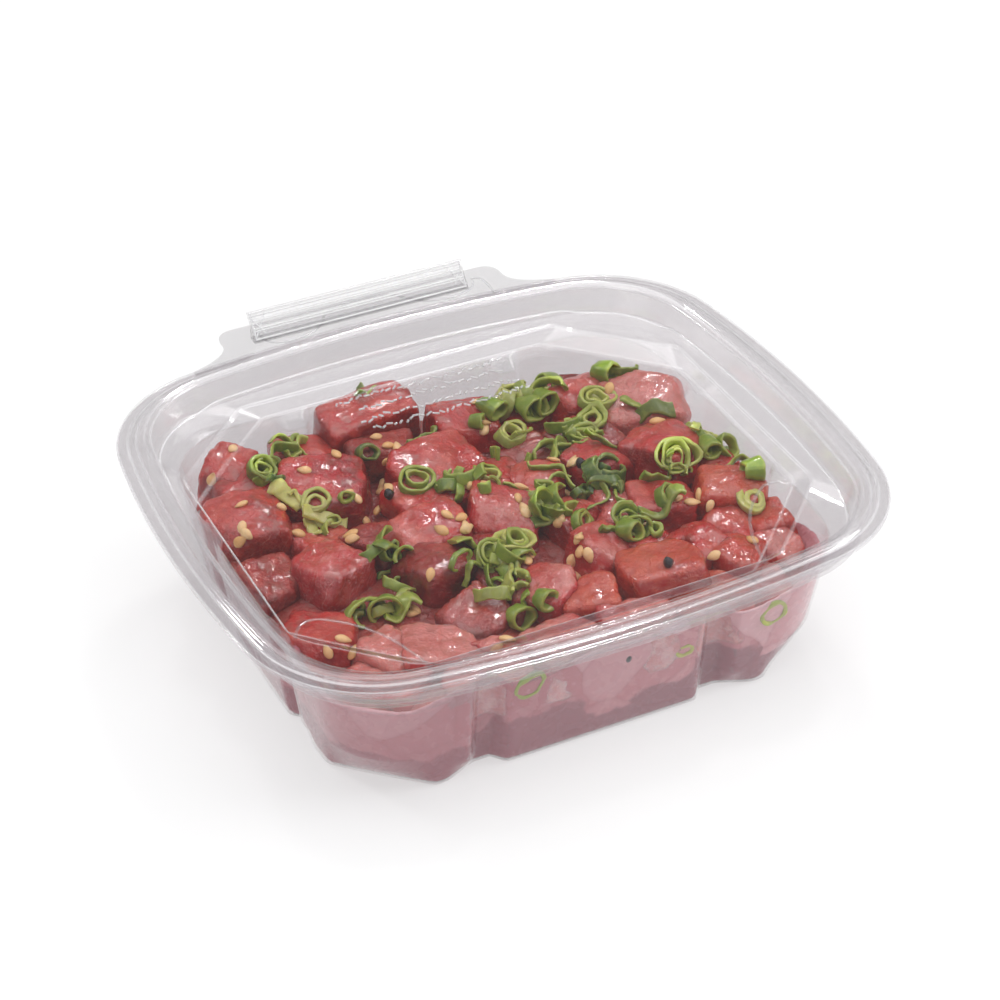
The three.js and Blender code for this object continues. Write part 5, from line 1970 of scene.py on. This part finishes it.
lobe_line = [
    (-32.5, 88.5), (-32, 84), (-29, 81), (-24, 80.6), (-18, 82), (-14, 85), (-11.5, 89), (-6, 91.4),
    (2, 91.9), (9, 90.8), (13, 87), (17, 83), (23, 81.4), (29, 81.8), (33, 84.2), (34.5, 88),
]
side_line = [(35, 88.2), (36.8, 87), (37.3, 83), (37, 78.5)]
lobes = raised_lines("press_lobes", [tab_line(lobe_line), tab_line(side_line)], 0.7, 0.3, RAISED)
print("lobes:", triangles(lobes), "triangles")

# %% [markdown]
# ## Raised dashes
#
# Four rows of moulded marks cross the far half of the panel. Here they are short dashes with
# no meaning: each takes its length, lift and slant from a seeded draw.

# %% Dashes
DASH_ROWS = ((58.5, -22, 30), (53.5, -17, 27), (47.5, -19, 28), (42.5, -17, 30))   # y, start, end
dash_rng = np.random.default_rng(3)
dashes = []
for y, start, end in DASH_ROWS:
    x = start
    while x < end:
        long = dash_rng.uniform(0.6, 1.9)
        lift = dash_rng.uniform(-1.0, 1.0)
        slant = dash_rng.uniform(-0.8, 0.8)
        near = (x, y + lift - slant, PANEL_TOP)
        far = (x + long, y + lift + slant, PANEL_TOP)
        dashes.append([near, far])
        x += long * 0.7 + dash_rng.uniform(0.4, 1.3)
marks_piece = raised_lines("raised_dashes", dashes, 0.7, 0.3, RAISED)
print("dashes:", len(dashes))

# %% [markdown] ## The floor The pack stands on a plain pale floor. A floor lit only by lamps
# would turn grey towards its edges, so it glows a little by itself. Behind the pack the glow is
# dimmed: a painted shadow, as if the hinge tab shaded the floor there.

# %% A wide floor
FLOOR_HALF = 3000
# The middle of a painted shadow on the floor, behind the pack.
PAINTED_SHADOW_AT = (0.02, 0.115, 0.0)       # in metres, as shaders count
floor_corners = [(x * FLOOR_HALF, y * FLOOR_HALF, 0) for x, y in ((-1, -1), (1, -1), (1, 1), (-1, 1))]
floor = mesh_piece("floor", floor_corners, [(0, 1, 2, 3)])
material, tree = new_material("pale_floor")
where = tree.node("ShaderNodeTexCoord", out="Object")
pale = tree.mix_colour(tree.noise(where, 3.0), (0.34, 0.34, 0.34, 1), (0.36, 0.36, 0.36, 1))
past = tree.vector("SUBTRACT", where, PAINTED_SHADOW_AT)
away = tree.node("ShaderNodeVectorMath", {0: past}, out="Value", operation="LENGTH")
# The glow drops to 0.72 near that place: a painted shadow.
glow_with_painted_shadow = tree.mix_colour(away.ramp(0.02, 0.1), (0.72, 0.72, 0.72, 1), (1.0, 1.0, 1.0, 1))
floor_surface = {
    "Base Color": pale,
    "Roughness": 0.8,
    "Specular IOR Level": 0.1,
    "Emission Color": glow_with_painted_shadow,
    "Emission Strength": 0.55,
}
principled(tree, floor_surface)
floor.data.materials.append(material)
print("floor:", 2 * FLOOR_HALF / 1000, "m wide")

# %% [markdown]
# ## The surround
#
# Clear sheets show what they mirror, so the world behind the camera matters more than usual. It
# is brightest in front of the pack and darker beyond it. A uniform white world would fill
# every wall with milk.

# %% World
scene = bpy.context.scene
scene.world = bpy.data.worlds.new("surround")
scene.world.use_nodes = True
scene.world.node_tree.nodes.clear()
tree = Tree(scene.world.node_tree)
towards = tree.node("ShaderNodeTexCoord", out="Generated")
forward = tree.part(towards, "Y")
high = tree.part(towards, "Z")
bright = 0.4 - 0.28 * forward.ramp(-0.5, 0.6) + 0.04 * high.ramp(0.4, 0.85)
glow = tree.node("ShaderNodeBackground", {"Color": (0.97, 0.98, 1.0, 1), "Strength": bright})
end = tree.tree.nodes.new("ShaderNodeOutputWorld")
tree.tree.links.new(glow.socket, end.inputs["Surface"])
print("world:", scene.world.name)

# %% [markdown]
# ## The lights
#
# A wide soft light hangs overhead. It is large so that the lid mirrors it as a weak even sheen
# and not as a white patch. Two small strong ones behind the pack put crisp glints on wet flesh
# and bright lines on the sheet's bends. Two soft ones from the front lighten the near wall.


# %% Five lights
def soft_light(name, place, aim, width, depth, power):
    """A rectangle of light, in metres and watts, that looks at `aim`."""
    data = bpy.data.lights.new(name, "AREA")
    data.shape = "RECTANGLE"
    data.size, data.size_y = width, depth
    data.energy = power
    lamp = shown(name, data)
    lamp.location = place
    lamp.rotation_euler = (Vector(aim) - Vector(place)).to_track_quat("-Z", "Y").to_euler()


FOOD_MIDDLE = (0, 0, 0.03)
soft_light("overhead", (0.1, 0.15, 1.5), (0, 0, 0), 2.1, 1.8, 23)
soft_light("window", (0.5, 0.75, 1.15), FOOD_MIDDLE, 0.16, 0.16, 5)
soft_light("behind_left", (-0.7, 0.8, 0.8), FOOD_MIDDLE, 0.14, 0.2, 3.5)
soft_light("front_right", (1.1, -0.5, 0.8), FOOD_MIDDLE, 0.6, 0.8, 9)
soft_light("front_left", (-0.9, -0.6, 0.8), FOOD_MIDDLE, 0.6, 0.8, 2.5)

# %% [markdown]
# ## Camera and colour
#
# A ray of light crosses up to a dozen clear faces before it meets the food. Cycles gives up
# after eight unless it is told otherwise, and what lies behind would turn black. The camera
# looks down from the near left with a long lens, which keeps the tray's sides nearly parallel.

# %% Camera
scene.cycles.transparent_max_bounces = 32
scene.view_settings.view_transform = "Standard"

LENS, SHIFT_X, SHIFT_Y, ROLL = 97.9, 0.0029, -0.0394, -0.0146
data = bpy.data.cameras.new("camera")
data.lens = LENS
data.shift_x, data.shift_y = SHIFT_X, SHIFT_Y
data.clip_start, data.clip_end = 0.01, 20
camera = shown("camera", data)
camera.location = (-0.2540, -0.5337, 0.4509)
aim = Vector((0, 0, RIM_TOP * MM)) - camera.location
camera.rotation_mode = "QUATERNION"
tilt = Euler((0, 0, ROLL)).to_quaternion()
camera.rotation_quaternion = aim.to_track_quat("-Z", "Y") @ tilt
scene.camera = camera
print("camera", [round(v, 3) for v in camera.location], "lens", data.lens)

# %% [markdown]
# ## Finish
#
